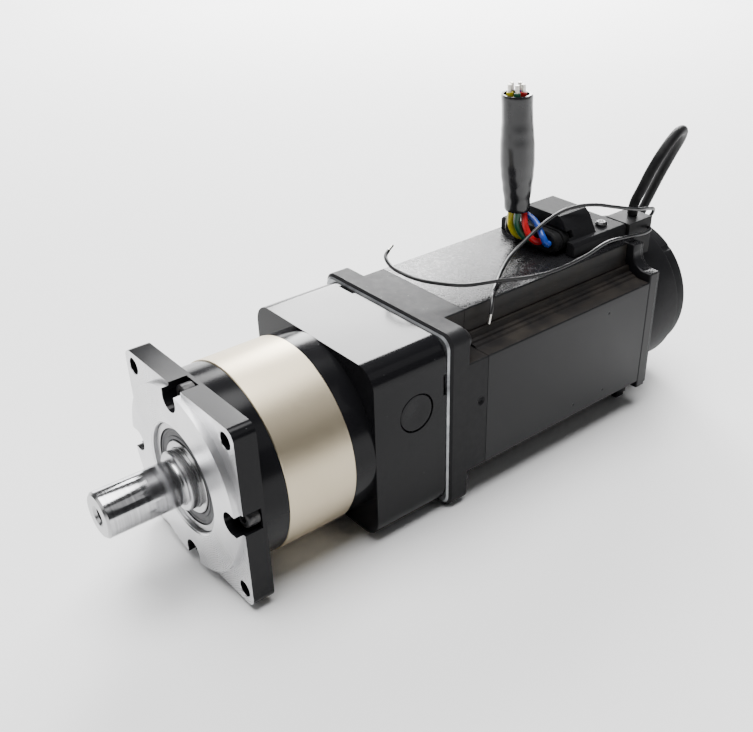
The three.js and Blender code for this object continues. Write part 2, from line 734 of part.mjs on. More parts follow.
// The shrunk tube round the power conductors, drawn in between its foot and its head.
function leadSleeve() {
  const length = SLEEVE_HEAD[2] - SLEEVE_FOOT[2];
  const outline = [
    [0, 5.4], [0, 6.1], [length * 0.08, 6.2], [length * 0.22, 7], [length * 0.42, 8.2],
    [length * 0.62, 7.9], [length * 0.82, 7.2], [length, 7.3], [length, 5.7],
    [length * 0.5, 5.6], [0, 5.4],
  ];
  const profile = outline.map(([height, radius]) => new THREE.Vector2(radius, height));
  const geometry = new THREE.LatheGeometry(profile, 16);
  geometry.rotateX(Math.PI / 2);
  const lean = (SLEEVE_HEAD[0] - SLEEVE_FOOT[0]) / length;
  const side = (SLEEVE_HEAD[1] - SLEEVE_FOOT[1]) / length;
  geometry.applyMatrix4(new THREE.Matrix4().set(
    1, 0, lean, SLEEVE_FOOT[0],
    0, 1, side, SLEEVE_FOOT[1],
    0, 0, 1, SLEEVE_FOOT[2],
    0, 0, 0, 1,
  ));
  return solid(geometry);
}

// ---------------------------------------------------------------- assembly
add('output_housing', outputHousing(), BLACK_ANODISED);
add('ring_gear', ringGear(), SATIN_NICKEL);
add('input_housing', inputHousing(), BLACK_ANODISED);
add('access_plug', accessPlug(), BLACK_ANODISED);
QUARTERS.forEach((turn, index) => {
  const screw = socketScrew(COUNTERBORE_DEPTH - GAP - 5.2, 5.2, 33, SCREW_HEAD, SCREW_SHANK);
  const placed = screw.translate([0, SCREW_CIRCLE, 0]).rotate([THREE.MathUtils.radToDeg(turn), 0, 0]);
  add(`housing_screw_${index + 1}`, placed, BLACK_OXIDE);
});

add('output_bearing_outer_race', outerRace(OUTPUT_BEARING), BEARING_STEEL);
add('output_bearing_shield', bearingShield(OUTPUT_BEARING), BEARING_STEEL);
add('output_bearing_inner_race', innerRace(OUTPUT_BEARING), BEARING_STEEL);
add('carrier_bearing_outer_race', outerRace(CARRIER_BEARING), BEARING_STEEL);
add('carrier_bearing_inner_race', innerRace(CARRIER_BEARING), BEARING_STEEL);
add('input_bearing_outer_race', outerRace(INPUT_BEARING), BEARING_STEEL);
add('input_bearing_inner_race', innerRace(INPUT_BEARING), BEARING_STEEL);

add('output_shaft', outputShaft(), POLISHED_STEEL);
add('carrier_plate', carrierPlate(), GEAR_STEEL);
planetAngles().forEach((angle, index) => {
  const [y, z] = orbitPoint(angle);
  add(`planet_gear_${index + 1}`, planetGear(angle), GEAR_STEEL);
  add(`planet_pin_${index + 1}`, barX(3.5, 24.3, 50.8, TINY, y, z), POLISHED_STEEL);
});
add('sun_gear', sunGear(), GEAR_STEEL);
add('clamp_hub', clampHub(), GEAR_STEEL);
add('clamp_screw', clampScrew(), BLACK_OXIDE);

add('motor_front_bell', motorFrontBell(), MOTOR_PAINT);
add('motor_body', motorBody(), MOTOR_PAINT);
add('motor_rear_bell', motorRearBell(), MOTOR_PAINT);
add('rear_cover', rearCover(), BLACK_PLASTIC);
COVER_SCREW_ANGLES.forEach((angle, index) => {
  add(`cover_screw_${index + 1}`, coverScrew(angle), BLACK_OXIDE);
});
CORNERS.forEach(([y, z], index) => {
  const screw = socketScrew(0, 5, 28, SCREW_HEAD, SCREW_SHANK).rotate([0, 0, 180]);
  const placed = screw.translate([MOTOR_FLANGE_END + 5 + 0.05, y * BOLT_OFFSET, z * BOLT_OFFSET]);
  add(`motor_screw_${index + 1}`, placed, BLACK_OXIDE);
});
add('motor_front_bearing_outer_race', outerRace(MOTOR_FRONT_BEARING), BEARING_STEEL);
add('motor_front_bearing_inner_race', innerRace(MOTOR_FRONT_BEARING), BEARING_STEEL);
add('motor_rear_bearing_outer_race', outerRace(MOTOR_REAR_BEARING), BEARING_STEEL);
add('motor_rear_bearing_inner_race', innerRace(MOTOR_REAR_BEARING), BEARING_STEEL);
add('stator_core', statorCore(), LAMINATION);
add('stator_winding', statorWinding(), COPPER);
add('rotor_core', rotorCore(), LAMINATION);
add('motor_shaft', motorShaft(), POLISHED_STEEL);
add('encoder_disc', encoderDisc(), BARE_ALUMINIUM);
add('encoder_board', encoderBoard(), CIRCUIT_GREEN);

add('lead_cover', leadCover(), BLACK_PLASTIC);
add('lead_cover_screw', leadCoverScrew(), BLACK_OXIDE);
add('lead_grommet', leadGrommet(), BLACK_PLASTIC);
add('encoder_boot', encoderBoot(), BLACK_PLASTIC);
add('lead_sleeve', leadSleeve(), BLACK_PLASTIC);
Object.entries(CONDUCTOR_ROUTES).forEach(([colour, route]) => {
  add(`lead_conductor_${colour}`, cord(route, CONDUCTOR_RADIUS, 8, 12), WIRE_COLOURS[colour]);
});
add('signal_wire_1', cord(SIGNAL_WIRE_1, WIRE_RADIUS, 8, 28), WIRE_COLOURS.black);
add('signal_wire_2', cord(SIGNAL_WIRE_2, WIRE_RADIUS, 8, 36), WIRE_COLOURS.black);
add('encoder_cable', cord(ENCODER_CABLE, CABLE_RADIUS, 8, 36), BLACK_PLASTIC);
add('encoder_connector', encoderConnector(), BLACK_PLASTIC);

export default reducer;
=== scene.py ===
"""Looks for the inline gear reducer and its drive motor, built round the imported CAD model.

Places are given in the reducer's own millimetres: x from the front face of the mounting flange
towards the motor, y and z from the shaft axis. at() turns them into the row frame, in metres.
"""

import math

import bmesh
import bpy
from mathutils import Matrix, Vector


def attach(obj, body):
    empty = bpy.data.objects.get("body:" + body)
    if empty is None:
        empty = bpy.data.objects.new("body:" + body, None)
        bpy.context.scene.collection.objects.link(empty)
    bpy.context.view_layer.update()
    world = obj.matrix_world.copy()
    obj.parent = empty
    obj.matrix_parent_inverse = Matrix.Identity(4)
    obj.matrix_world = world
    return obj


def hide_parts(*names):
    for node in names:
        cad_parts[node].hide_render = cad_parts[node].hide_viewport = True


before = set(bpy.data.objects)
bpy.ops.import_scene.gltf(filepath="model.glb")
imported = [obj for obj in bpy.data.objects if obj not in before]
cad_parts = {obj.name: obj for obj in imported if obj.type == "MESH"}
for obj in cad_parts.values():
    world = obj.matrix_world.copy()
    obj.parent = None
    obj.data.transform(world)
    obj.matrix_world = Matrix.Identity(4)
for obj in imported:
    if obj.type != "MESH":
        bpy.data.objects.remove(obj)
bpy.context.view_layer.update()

# ------------------------------------------------------------------ driving dimensions
MM = 0.001
CENTRE_X = 116.0
AXIS_Z = 43.0

SHAFT_TIP = -38.0
FLANGE_HALF = 41.0
FLANGE_CORNER = 4.5
FLANGE_THICKNESS = 9.4
PILOT_RADIUS = 40.0
PILOT_FACE = -3.0
BOLT_OFFSET = 34.8
SCREW_CIRCLE = 36.3
PLANET_ORBIT = 18.75
BIG_CAP_HEAD = 4.25
BIG_CAP_SHANK = 2.45
HUB_END = 20.0
RING_RADIUS = 41.4
RING_END = 51.5
NECK_RADIUS = 41.0
NECK_END = 61.6
ADAPTER_HALF = 41.0
ADAPTER_CORNER = 9.5
ADAPTER_END = 99.1
PLUG_X = 83.2
PLUG_Z = 14.0
PLUG_RADIUS = 8.5
MOTOR_HALF = 43.0
MOTOR_CORNER = 5.5
CHANNEL_FLAT = 27.5
MOTOR_FACE = 99.4
MOTOR_FLANGE_END = 110.0
FRONT_BELL_END = 121.0
BODY_END = 227.7
REAR_BELL_END = 236.0
COVER_RADIUS = 39.0
COVER_STEP = 261.0
COVER_RIM_RADIUS = 36.5
REAR_END = 270.0
COVER_SCREW_CIRCLE = 29.0
COVER_SCREW_TURNS = (45, 225)
LEAD_SCREW = (222, -15)
FINE = 128
SHARP_ANGLE = 28.0

CORNERS = ((1, 1), (-1, 1), (-1, -1), (1, -1))
SIDES = ((1, 0), (0, 1), (-1, 0), (0, -1))


def at(x, y, z):
    return Vector(((x - CENTRE_X) * MM, y * MM, (z + AXIS_Z) * MM))


# ------------------------------------------------------------------ camera
CAMERA_PLACE = at(-129.1, -291.7, 227.4)
CAMERA_AZIMUTH = -40.02
CAMERA_ELEVATION = 32.03
CAMERA_ROLL = -0.586
CAMERA_LENS = 46.27
SHIFT_X = -0.0490
SHIFT_Y = 0.0410


def make_camera():
    data = bpy.data.cameras.new("camera")
    data.lens = CAMERA_LENS
    data.sensor_width = 36.0
    data.shift_x = SHIFT_X
    data.shift_y = SHIFT_Y
    camera = bpy.data.objects.new("camera", data)
    bpy.context.scene.collection.objects.link(camera)
    turn = Matrix.Rotation(math.radians(CAMERA_AZIMUTH), 4, "Z")
    tilt = Matrix.Rotation(math.radians(90 - CAMERA_ELEVATION), 4, "X")
    roll = Matrix.Rotation(math.radians(CAMERA_ROLL), 4, "Z")
    camera.matrix_world = Matrix.Translation(CAMERA_PLACE) @ turn @ tilt @ roll
    bpy.context.scene.camera = camera


make_camera()


# ------------------------------------------------------------------ material nodes
class Surface:
    """A Principled material with short calls for the nodes that the finishes share."""

    def __init__(self, name, colour, roughness, metallic=0.0):
        self.material = bpy.data.materials.new(name)
        self.material.use_nodes = True
        self.tree = self.material.node_tree
        self.shader = self.tree.nodes["Principled BSDF"]
        self.shader.inputs["Base Color"].default_value = (*colour, 1.0)
        self.shader.inputs["Roughness"].default_value = roughness
        self.shader.inputs["Metallic"].default_value = metallic
        self.place = self.tree.nodes.new("ShaderNodeTexCoord").outputs["Object"]

    def node(self, kind, **settings):
        node = self.tree.nodes.new(kind)
        for name, value in settings.items():
            setattr(node, name, value)
        return node

    def link(self, source, target):
        self.tree.links.new(source, target)

    def stretched(self, scale, offset=(0.0, 0.0, 0.0)):
        mapping = self.node("ShaderNodeMapping")
        mapping.inputs["Location"].default_value = offset
        mapping.inputs["Scale"].default_value = scale
        self.link(self.place, mapping.inputs["Vector"])
        return mapping.outputs["Vector"]

    def noise(self, scale, detail=4.0, roughness=0.55, place=None):
        node = self.node("ShaderNodeTexNoise")
        node.inputs["Scale"].default_value = scale
        node.inputs["Detail"].default_value = detail
        node.inputs["Roughness"].default_value = roughness
        self.link(place or self.place, node.inputs["Vector"])
        return node.outputs["Fac"]

    def specks(self, scale, size, place=None):
        """1 in small round spots and 0 elsewhere."""
        node = self.node("ShaderNodeTexVoronoi")
        node.inputs["Scale"].default_value = scale
        self.link(place or self.place, node.inputs["Vector"])
        return self.ramp(node.outputs["Distance"], [(size * 0.6, 1.0), (size, 0.0)])

    def ramp(self, source, stops):
        node = self.node("ShaderNodeValToRGB")
        while len(node.color_ramp.elements) < len(stops):
            node.color_ramp.elements.new(0.5)
        for element, (spot, value) in zip(node.color_ramp.elements, stops):
            colour = value if isinstance(value, tuple) else (value, value, value)
            element.position = spot
            element.color = (*colour, 1.0)
        self.link(source, node.inputs["Fac"])
        return node.outputs["Color"]

    def range(self, source, low, high):
        node = self.node("ShaderNodeMapRange")
        node.inputs["To Min"].default_value = low
        node.inputs["To Max"].default_value = high
        self.link(source, node.inputs["Value"])
        return node.outputs["Result"]

    def maths(self, operation, first, second):
        node = self.node("ShaderNodeMath", operation=operation)
        for socket, value in zip(node.inputs, (first, second)):
            if isinstance(value, (int, float)):
                socket.default_value = value
            else:
                self.link(value, socket)
        return node.outputs["Value"]

    def blend(self, share, first, second):
        """A colour mix. first and second are colours or outputs."""
        node = self.node("ShaderNodeMix", data_type="RGBA")
        self.link(share, node.inputs["Factor"])
        for name, value in (("A", first), ("B", second)):
            socket = [s for s in node.inputs if s.name == name and s.type == "RGBA"][0]
            if isinstance(value, tuple):
                socket.default_value = (*value, 1.0)
            else:
                self.link(value, socket)
        return [s for s in node.outputs if s.type == "RGBA"][0]

    def bump(self, height, strength, distance, below=None):
        node = self.node("ShaderNodeBump")
        node.inputs["Strength"].default_value = strength
        node.inputs["Distance"].default_value = distance
        self.link(height, node.inputs["Height"])
        if below is not None:
            self.link(below, node.inputs["Normal"])
        return node.outputs["Normal"]

    def facing_up(self):
        split = self.node("ShaderNodeSeparateXYZ")
        self.link(self.node("ShaderNodeNewGeometry").outputs["Normal"], split.inputs["Vector"])
        return self.ramp(split.outputs["Z"], [(0.75, 0.0), (0.95, 1.0)])

    def colour(self, source):
        self.link(source, self.shader.inputs["Base Color"])

    def roughness(self, source):
        self.link(source, self.shader.inputs["Roughness"])

    def normal(self, source):
        self.link(source, self.shader.inputs["Normal"])


AXIS_OFFSET = (0.0, 0.0, -AXIS_Z * MM)


def anodised_black():
    s = Surface("anodised_black", (0.007, 0.007, 0.008), 0.16)
    s.shader.inputs["Specular IOR Level"].default_value = 0.13
    smudge = s.noise(38.0, 3.0)
    s.roughness(s.range(smudge, 0.11, 0.23))
    dust = s.specks(170.0, 0.035)
    s.colour(s.blend(dust, (0.007, 0.007, 0.008), (0.08, 0.08, 0.08)))
    grain = s.noise(2600.0, 2.0)
    s.normal(s.bump(grain, 0.05, 0.0001))
    return s.material


def bare_aluminium():
    """Faced on a lathe: fine rings spread each reflection into streaks that run out from the axis."""
    s = Surface("bare_aluminium", (0.66, 0.66, 0.67), 0.30, 1.0)
    rings = s.node("ShaderNodeTexWave", wave_type="RINGS", rings_direction="X")
    rings.inputs["Scale"].default_value = 420.0
    rings.inputs["Distortion"].default_value = 0.4
    s.link(s.stretched((1.0, 1.0, 1.0), AXIS_OFFSET), rings.inputs["Vector"])
    tone = s.noise(46.0, 5.0)
    s.colour(s.ramp(tone, [(0.3, (0.56, 0.56, 0.57)), (0.7, (0.72, 0.72, 0.73))]))
    s.roughness(s.range(rings.outputs["Fac"], 0.20, 0.34))
    s.normal(s.bump(rings.outputs["Fac"], 0.10, 0.00006))
    s.shader.inputs["Anisotropic"].default_value = 0.75
    tangent = s.node("ShaderNodeTangent", direction_type="RADIAL", axis="X")
    s.link(tangent.outputs["Tangent"], s.shader.inputs["Tangent"])
    return s.material


def worn_edge():
    """The machined lead-in of the motor flange: bare metal, dulled in places by what is left of the paint."""
    s = Surface("worn_edge", (0.34, 0.34, 0.35), 0.4, 0.9)
    patches = s.noise(60.0, 5.0, 0.6)
    s.colour(s.ramp(patches, [(0.38, (0.42, 0.43, 0.44)), (0.55, (0.26, 0.27, 0.28)),
                              (0.70, (0.08, 0.08, 0.085))]))
    s.roughness(s.range(patches, 0.3, 0.5))
    s.normal(s.bump(s.noise(900.0), 0.12, 0.0002))
    return s.material


def satin_nickel():
    s = Surface("satin_nickel", (0.55, 0.475, 0.345), 0.38, 1.0)
    tone = s.noise(30.0, 3.0)
    s.colour(s.ramp(tone, [(0.3, (0.535, 0.460, 0.330)), (0.7, (0.575, 0.500, 0.370))]))
    s.roughness(s.range(s.noise(420.0, 5.0), 0.36, 0.44))
    s.normal(s.bump(s.noise(2200.0, 3.0, 0.6), 0.12, 0.0001))
    return s.material


def polished_steel():
    """Ground steel: the marks go round the shaft, so they change along X alone."""
    s = Surface("polished_steel", (0.52, 0.52, 0.53), 0.12, 1.0)
    grinding = s.noise(1.0, 4.0, 0.6, s.stretched((900.0, 9.0, 9.0)))
    s.roughness(s.range(grinding, 0.08, 0.22))
    s.colour(s.ramp(grinding, [(0.34, (0.40, 0.40, 0.41)), (0.66, (0.58, 0.58, 0.59))]))
    s.normal(s.bump(grinding, 0.10, 0.0001))
    return s.material


def race_steel():
    s = Surface("race_steel", (0.42, 0.42, 0.43), 0.18, 1.0)
    film = s.noise(1.0, 3.0, 0.5, s.stretched((700.0, 9.0, 9.0)))
    s.colour(s.ramp(film, [(0.35, (0.38, 0.38, 0.38)), (0.65, (0.44, 0.44, 0.45))]))
    s.roughness(s.range(film, 0.20, 0.34))
    s.normal(s.bump(film, 0.04, 0.00005))
    return s.material


def shield_steel():
    s = Surface("shield_steel", (0.07, 0.07, 0.072), 0.5, 0.25)
    s.shader.inputs["Specular IOR Level"].default_value = 0.2
    tone = s.noise(240.0, 4.0)
    s.colour(s.ramp(tone, [(0.3, (0.05, 0.05, 0.052)), (0.7, (0.095, 0.095, 0.10))]))
    s.roughness(s.range(tone, 0.42, 0.58))
    s.normal(s.bump(s.noise(1800.0), 0.06, 0.00005))
    return s.material


def gear_steel():
    s = Surface("gear_steel", (0.33, 0.33, 0.34), 0.34, 1.0)
    tone = s.noise(120.0, 5.0)
    s.colour(s.ramp(tone, [(0.3, (0.25, 0.25, 0.255)), (0.7, (0.40, 0.40, 0.41))]))
    s.roughness(s.range(tone, 0.24, 0.44))
    s.normal(s.bump(s.noise(1.0, 4.0, 0.6, s.stretched((300.0, 3000.0, 3000.0))), 0.1, 0.0001))
    return s.material


def black_oxide():
    s = Surface("black_oxide", (0.022, 0.022, 0.025), 0.34, 0.6)
    tone = s.noise(500.0, 4.0)
    s.colour(s.ramp(tone, [(0.4, (0.018, 0.018, 0.02)), (0.75, (0.07, 0.068, 0.066))]))
    s.roughness(s.range(tone, 0.26, 0.42))
    s.normal(s.bump(s.noise(2500.0), 0.08, 0.00008))
    return s.material


def motor_paint():
    """Black powder coat: orange peel and small specks show on the top faces, where the light grazes."""
    s = Surface("motor_paint", (0.009, 0.009, 0.010), 0.36)
    s.shader.inputs["Specular IOR Level"].default_value = 0.15
    upward = s.facing_up()
    peel = s.noise(620.0, 3.0, 0.6)
    pores = s.noise(1900.0, 4.0, 0.7)
    satin = s.range(s.noise(55.0, 4.0), 0.30, 0.38)
    gloss = s.range(s.maths("MULTIPLY", peel, pores), 0.10, 0.86)
    s.roughness(s.blend(upward, satin, gloss))
    dust = s.maths("MULTIPLY", s.specks(190.0, 0.06), s.maths("MULTIPLY", upward, 0.7))
    s.colour(s.blend(dust, (0.009, 0.009, 0.010), (0.15, 0.14, 0.13)))
    height = s.maths("MULTIPLY", s.maths("ADD", peel, pores), s.maths("ADD", upward, 0.10))
    s.normal(s.bump(height, 0.30, 0.00016))
    return s.material


def flange_paint():
    """The coat on the front bell, which is duller than the body's and has caught more dust."""
    s = Surface("flange_paint", (0.010, 0.010, 0.011), 0.6)
    s.shader.inputs["Specular IOR Level"].default_value = 0.14
    s.roughness(s.range(s.noise(300.0, 4.0), 0.46, 0.64))
    dust = s.maths("MULTIPLY", s.specks(330.0, 0.10), s.maths("MULTIPLY", s.facing_up(), 0.5))
    s.colour(s.blend(dust, (0.010, 0.010, 0.011), (0.14, 0.14, 0.135)))
    s.normal(s.bump(s.noise(1100.0, 4.0, 0.7), 0.25, 0.00012))
    return s.material


def channel_paint():
    """The same coat down in the corner channels, with warm brown patches painted in as a reflection."""
    s = Surface("channel_paint", (0.012, 0.011, 0.010), 0.5)
    s.shader.inputs["Specular IOR Level"].default_value = 0.2
    brown_reflection_patches = s.noise(70.0, 5.0, 0.65)
    # painted reflection: the lighter end of this ramp puts warm brown patches on the channel faces
    s.colour(s.ramp(brown_reflection_patches, [(0.40, (0.006, 0.005, 0.005)), (0.72, (0.022, 0.018, 0.014))]))
    s.roughness(s.range(brown_reflection_patches, 0.38, 0.62))
    s.normal(s.bump(s.noise(1100.0), 0.15, 0.0001))
    return s.material


def moulded_black():
    s = Surface("moulded_black", (0.010, 0.010, 0.011), 0.5)
    s.shader.inputs["Specular IOR Level"].default_value = 0.07
    s.colour(s.ramp(s.noise(90.0, 4.0), [(0.35, (0.008, 0.008, 0.009)), (0.7, (0.012, 0.012, 0.013))]))
    s.roughness(s.range(s.noise(900.0, 3.0), 0.50, 0.60))
    s.normal(s.bump(s.noise(1700.0, 3.0, 0.6), 0.14, 0.0001))
    return s.material


def lead_rubber():
    s = Surface("lead_rubber", (0.012, 0.012, 0.013), 0.5)
    s.shader.inputs["Specular IOR Level"].default_value = 0.08
    tone = s.noise(200.0, 5.0)
    s.colour(s.ramp(tone, [(0.35, (0.008, 0.008, 0.009)), (0.7, (0.016, 0.016, 0.016))]))
    s.roughness(s.range(tone, 0.4, 0.62))
    s.normal(s.bump(s.noise(1200.0), 0.1, 0.0001))
    return s.material


def sleeve_film():
    """Shrunk tube: smooth and glossy, with long creases where it was pulled in."""
    s = Surface("sleeve_film", (0.010, 0.010, 0.011), 0.22)
    creases = s.noise(1.0, 2.0, 0.4, s.stretched((150.0, 150.0, 12.0)))
    s.colour(s.ramp(s.noise(60.0, 3.0), [(0.3, (0.008, 0.008, 0.009)), (0.7, (0.016, 0.016, 0.018))]))
    s.roughness(s.range(creases, 0.16, 0.27))
    s.normal(s.bump(creases, 0.12, 0.0005))
    return s.material


def laminations():
    s = Surface("laminations", (0.23, 0.24, 0.25), 0.5, 0.8)
    sheets = s.node("ShaderNodeTexWave", bands_direction="X")
    sheets.inputs["Scale"].default_value = 300.0
    s.link(s.place, sheets.inputs["Vector"])
    s.colour(s.ramp(sheets.outputs["Fac"], [(0.2, (0.12, 0.12, 0.13)), (0.6, (0.27, 0.28, 0.29))]))
    s.roughness(s.range(s.noise(200.0), 0.4, 0.6))
    s.normal(s.bump(sheets.outputs["Fac"], 0.2, 0.0001))
    return s.material


def copper():
    s = Surface("copper", (0.62, 0.28, 0.12), 0.32, 0.9)
    strands = s.noise(1.0, 4.0, 0.6, s.stretched((900.0, 200.0, 200.0)))
    s.colour(s.ramp(strands, [(0.3, (0.36, 0.13, 0.05)), (0.7, (0.74, 0.36, 0.17))]))
    s.roughness(s.range(strands, 0.22, 0.42))
    s.normal(s.bump(strands, 0.4, 0.0003))
    return s.material


def tinned():
    s = Surface("tinned", (0.62, 0.61, 0.58), 0.3, 1.0)
    lumps = s.noise(900.0, 4.0)
    s.colour(s.ramp(lumps, [(0.35, (0.44, 0.42, 0.38)), (0.65, (0.74, 0.73, 0.70))]))
    s.roughness(s.range(lumps, 0.2, 0.42))
    s.normal(s.bump(lumps, 0.4, 0.0003))
    return s.material


def circuit_board():
    s = Surface("circuit_board", (0.02, 0.12, 0.05), 0.4)
    tracks = s.node("ShaderNodeTexVoronoi", feature="DISTANCE_TO_EDGE")
    tracks.inputs["Scale"].default_value = 300.0
    s.link(s.place, tracks.inputs["Vector"])
    s.colour(s.ramp(tracks.outputs["Distance"], [(0.04, (0.05, 0.22, 0.10)), (0.1, (0.02, 0.11, 0.05))]))
    s.roughness(s.range(s.noise(80.0), 0.34, 0.48))
    return s.material


def insulation(name, colour):
    s = Surface(name, colour, 0.3)
    shade = tuple(channel * 0.72 for channel in colour)
    mottle = s.noise(260.0, 4.0)
    s.colour(s.ramp(mottle, [(0.35, shade), (0.65, colour)]))
    s.roughness(s.range(mottle, 0.22, 0.38))
    s.normal(s.bump(s.noise(900.0), 0.05, 0.0001))
    return s.material


def floor_paper():
    s = Surface("floor_paper", (0.86, 0.86, 0.86), 0.75)
    s.colour(s.ramp(s.noise(3.0, 2.0), [(0.3, (0.85, 0.85, 0.85)), (0.7, (0.87, 0.87, 0.87))]))
    s.shader.inputs["Specular IOR Level"].default_value = 0.1
    return s.material


BLACK = anodised_black()
BARE = bare_aluminium()
WORN = worn_edge()
NICKEL = satin_nickel()
STEEL = polished_steel()
RACE = race_steel()
SHIELD = shield_steel()
GEAR = gear_steel()
OXIDE = black_oxide()
PAINT = motor_paint()
CHANNEL = channel_paint()
FLANGE_PAINT = flange_paint()
MOULDED = moulded_black()
RUBBER = lead_rubber()
FILM = sleeve_film()
LAMINATIONS = laminations()
COPPER = copper()
TINNED = tinned()
BOARD = circuit_board()
WIRES = {
    "yellow": insulation("wire_yellow", (0.72, 0.60, 0.01)),
    "green": insulation("wire_green", (0.005, 0.10, 0.05)),
    "red": insulation("wire_red", (0.62, 0.01, 0.015)),
    "blue": insulation("wire_blue", (0.01, 0.06, 0.38)),
    "black": insulation("wire_black", (0.014, 0.014, 0.015)),
}


# ------------------------------------------------------------------ mesh building
def arc(cy, cz, radius, start, end, steps):
    """Points on a circle, in degrees, both ends among them."""
    turns = (math.radians(start + (end - start) * i / steps) for i in range(steps + 1))
    return [(cy + radius * math.cos(t), cz + radius * math.sin(t)) for t in turns]


def on_circle(radius, degrees):
    turn = math.radians(degrees)
    return radius * math.cos(turn), radius * math.sin(turn)


def rounded_square(half, corner, steps=14):
    flat = half - corner
    points = []
    for quarter, (y, z) in enumerate(CORNERS):
        points += arc(y * flat, z * flat, corner, quarter * 90, quarter * 90 + 90, steps)
    return points


def quarter_turned(points):
    """The outline that one quarter's points make when they are repeated round the axis."""
    outline = []
    for quarter in range(4):
        turn = math.radians(90 * quarter)
        c, s = math.cos(turn), math.sin(turn)
        outline += [(y * c - z * s, y * s + z * c) for y, z in points]
    return outline


def inset(outline, amount, half):
    """Pulls an outline in towards the axis by a plain scale."""
    share = (half - amount) / half
    return [(y * share, z * share) for y, z in outline]


def mesh_object(name, bm, material, smooth_angle=SHARP_ANGLE):
    bmesh.ops.recalc_face_normals(bm, faces=bm.faces)
    mesh = bpy.data.meshes.new(name)
    bm.to_mesh(mesh)
    bm.free()
    mesh.materials.append(material)
    mesh.shade_smooth()
    mesh.set_sharp_from_angle(angle=math.radians(smooth_angle))
    obj = bpy.data.objects.new(name, mesh)
    bpy.context.scene.collection.objects.link(obj)
    return obj


def loft(name, sections, material):
    """Joins outlines, each (x, points), into one closed solid along X."""
    bm = bmesh.new()
    rings = [[bm.verts.new(at(x, y, z)) for y, z in points] for x, points in sections]
    for first, second in zip(rings, rings[1:]):
        for i in range(len(first)):
            j = (i + 1) % len(first)
            bm.faces.new((first[i], first[j], second[j], second[i]))
    bm.faces.new(rings[0])
    bm.faces.new(rings[-1])
    return mesh_object(name, bm, material)


def revolve(name, profile, material, sides=FINE, centre=(0.0, 0.0), axis="X", origin=0.0):
    """Turns [along, radius] points about a line along X, Y or Z. A closed profile makes a tube."""
    closed = profile[0] == profile[-1]
    points = profile[:-1] if closed else profile
    bm = bmesh.new()
    rings = []
    for along, radius in points:
        count = sides if radius > 1e-6 else 1
        ring = []
        for i in range(count):
            turn = 2 * math.pi * i / sides
            u = centre[0] + radius * math.cos(turn)
            v = centre[1] + radius * math.sin(turn)
            spot = {"X": (origin + along, u, v), "Y": (u, origin + along, v),
                    "Z": (u, v, origin + along)}[axis]
            ring.append(bm.verts.new(at(*spot)))
        rings.append(ring)
    pairs = list(zip(rings, rings[1:] + rings[:1])) if closed else list(zip(rings, rings[1:]))
    for first, second in pairs:
        for i in range(sides):
            j = (i + 1) % sides
            corners = [first[i % len(first)], first[j % len(first)],
                       second[j % len(second)], second[i % len(second)]]
            corners = list(dict.fromkeys(corners))
            if len(corners) > 2:
                bm.faces.new(corners)
    return mesh_object(name, bm, material)


def block(name, x, y, z, material):
    bm = bmesh.new()
    bmesh.ops.create_cube(bm, size=1.0)
    low, high = at(x[0], y[0], z[0]), at(x[1], y[1], z[1])
    for vert in bm.verts:
        vert.co = Vector(low[i] + (high[i] - low[i]) * (vert.co[i] + 0.5) for i in range(3))
    return mesh_object(name, bm, material)


def carve(obj, cutters, operation="DIFFERENCE"):
    """Applies booleans with each cutter, then deletes the cutters."""
    for cutter in cutters:
        step = obj.modifiers.new("cut", "BOOLEAN")
        step.operation = operation
        step.solver = "EXACT"
        step.object = cutter
    bake(obj)
    for cutter in cutters:
        bpy.data.objects.remove(cutter)


def bake(obj):
    """Turns an object's modifiers into its mesh."""
    graph = bpy.context.evaluated_depsgraph_get()
    mesh = bpy.data.meshes.new_from_object(obj.evaluated_get(graph))
    obj.modifiers.clear()
    obj.data = mesh
    mesh.shade_smooth()
    mesh.set_sharp_from_angle(angle=math.radians(SHARP_ANGLE))


def soften(obj, width=0.25, segments=2, angle=32.0):
    """A small bevel on every hard edge, so that it catches the light."""
    bevel = obj.modifiers.new("edges", "BEVEL")
    bevel.width = width * MM
    bevel.segments = segments
    bevel.limit_method = "ANGLE"
    bevel.angle_limit = math.radians(angle)
    bevel.harden_normals = True


def place(obj, body, slot, *nodes):
    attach(obj, body)
    if nodes:
        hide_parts(*nodes)
    return obj


def paint_faces(obj, material, test):
    """Gives a second material to the faces whose centre and normal, in millimetres, pass a test."""
    obj.data.materials.append(material)
    index = len(obj.data.materials) - 1
    for face in obj.data.polygons:
        centre = face.center / MM
        spot = (centre.x + CENTRE_X, centre.y, centre.z - AXIS_Z)
        if test(spot, face.normal):
            face.material_index = index


# ------------------------------------------------------------------ cords
def catmull(points, per_span):
    """A centripetal Catmull-Rom curve through the points, as in the CAD solids."""
    knots = [Vector(p) for p in points]
    knots = [knots[0] * 2 - knots[1]] + knots + [knots[-1] * 2 - knots[-2]]
    line = []
    for a, b, c, d in zip(knots, knots[1:], knots[2:], knots[3:]):
        t0, t1, t2 = ((q - p).length ** 0.5 for p, q in ((a, b), (b, c), (c, d)))
        lead = ((b - a) / t0 - (c - a) / (t0 + t1) + (c - b) / t1) * t1
        tail = ((c - b) / t1 - (d - b) / (t1 + t2) + (d - c) / t2) * t1
        for i in range(per_span):
            t = i / per_span
            line.append(b + lead * t + (c * 3 - b * 3 - lead * 2 - tail) * t ** 2
                        + (b * 2 - c * 2 + lead + tail) * t ** 3)
    return line + [knots[-2]]


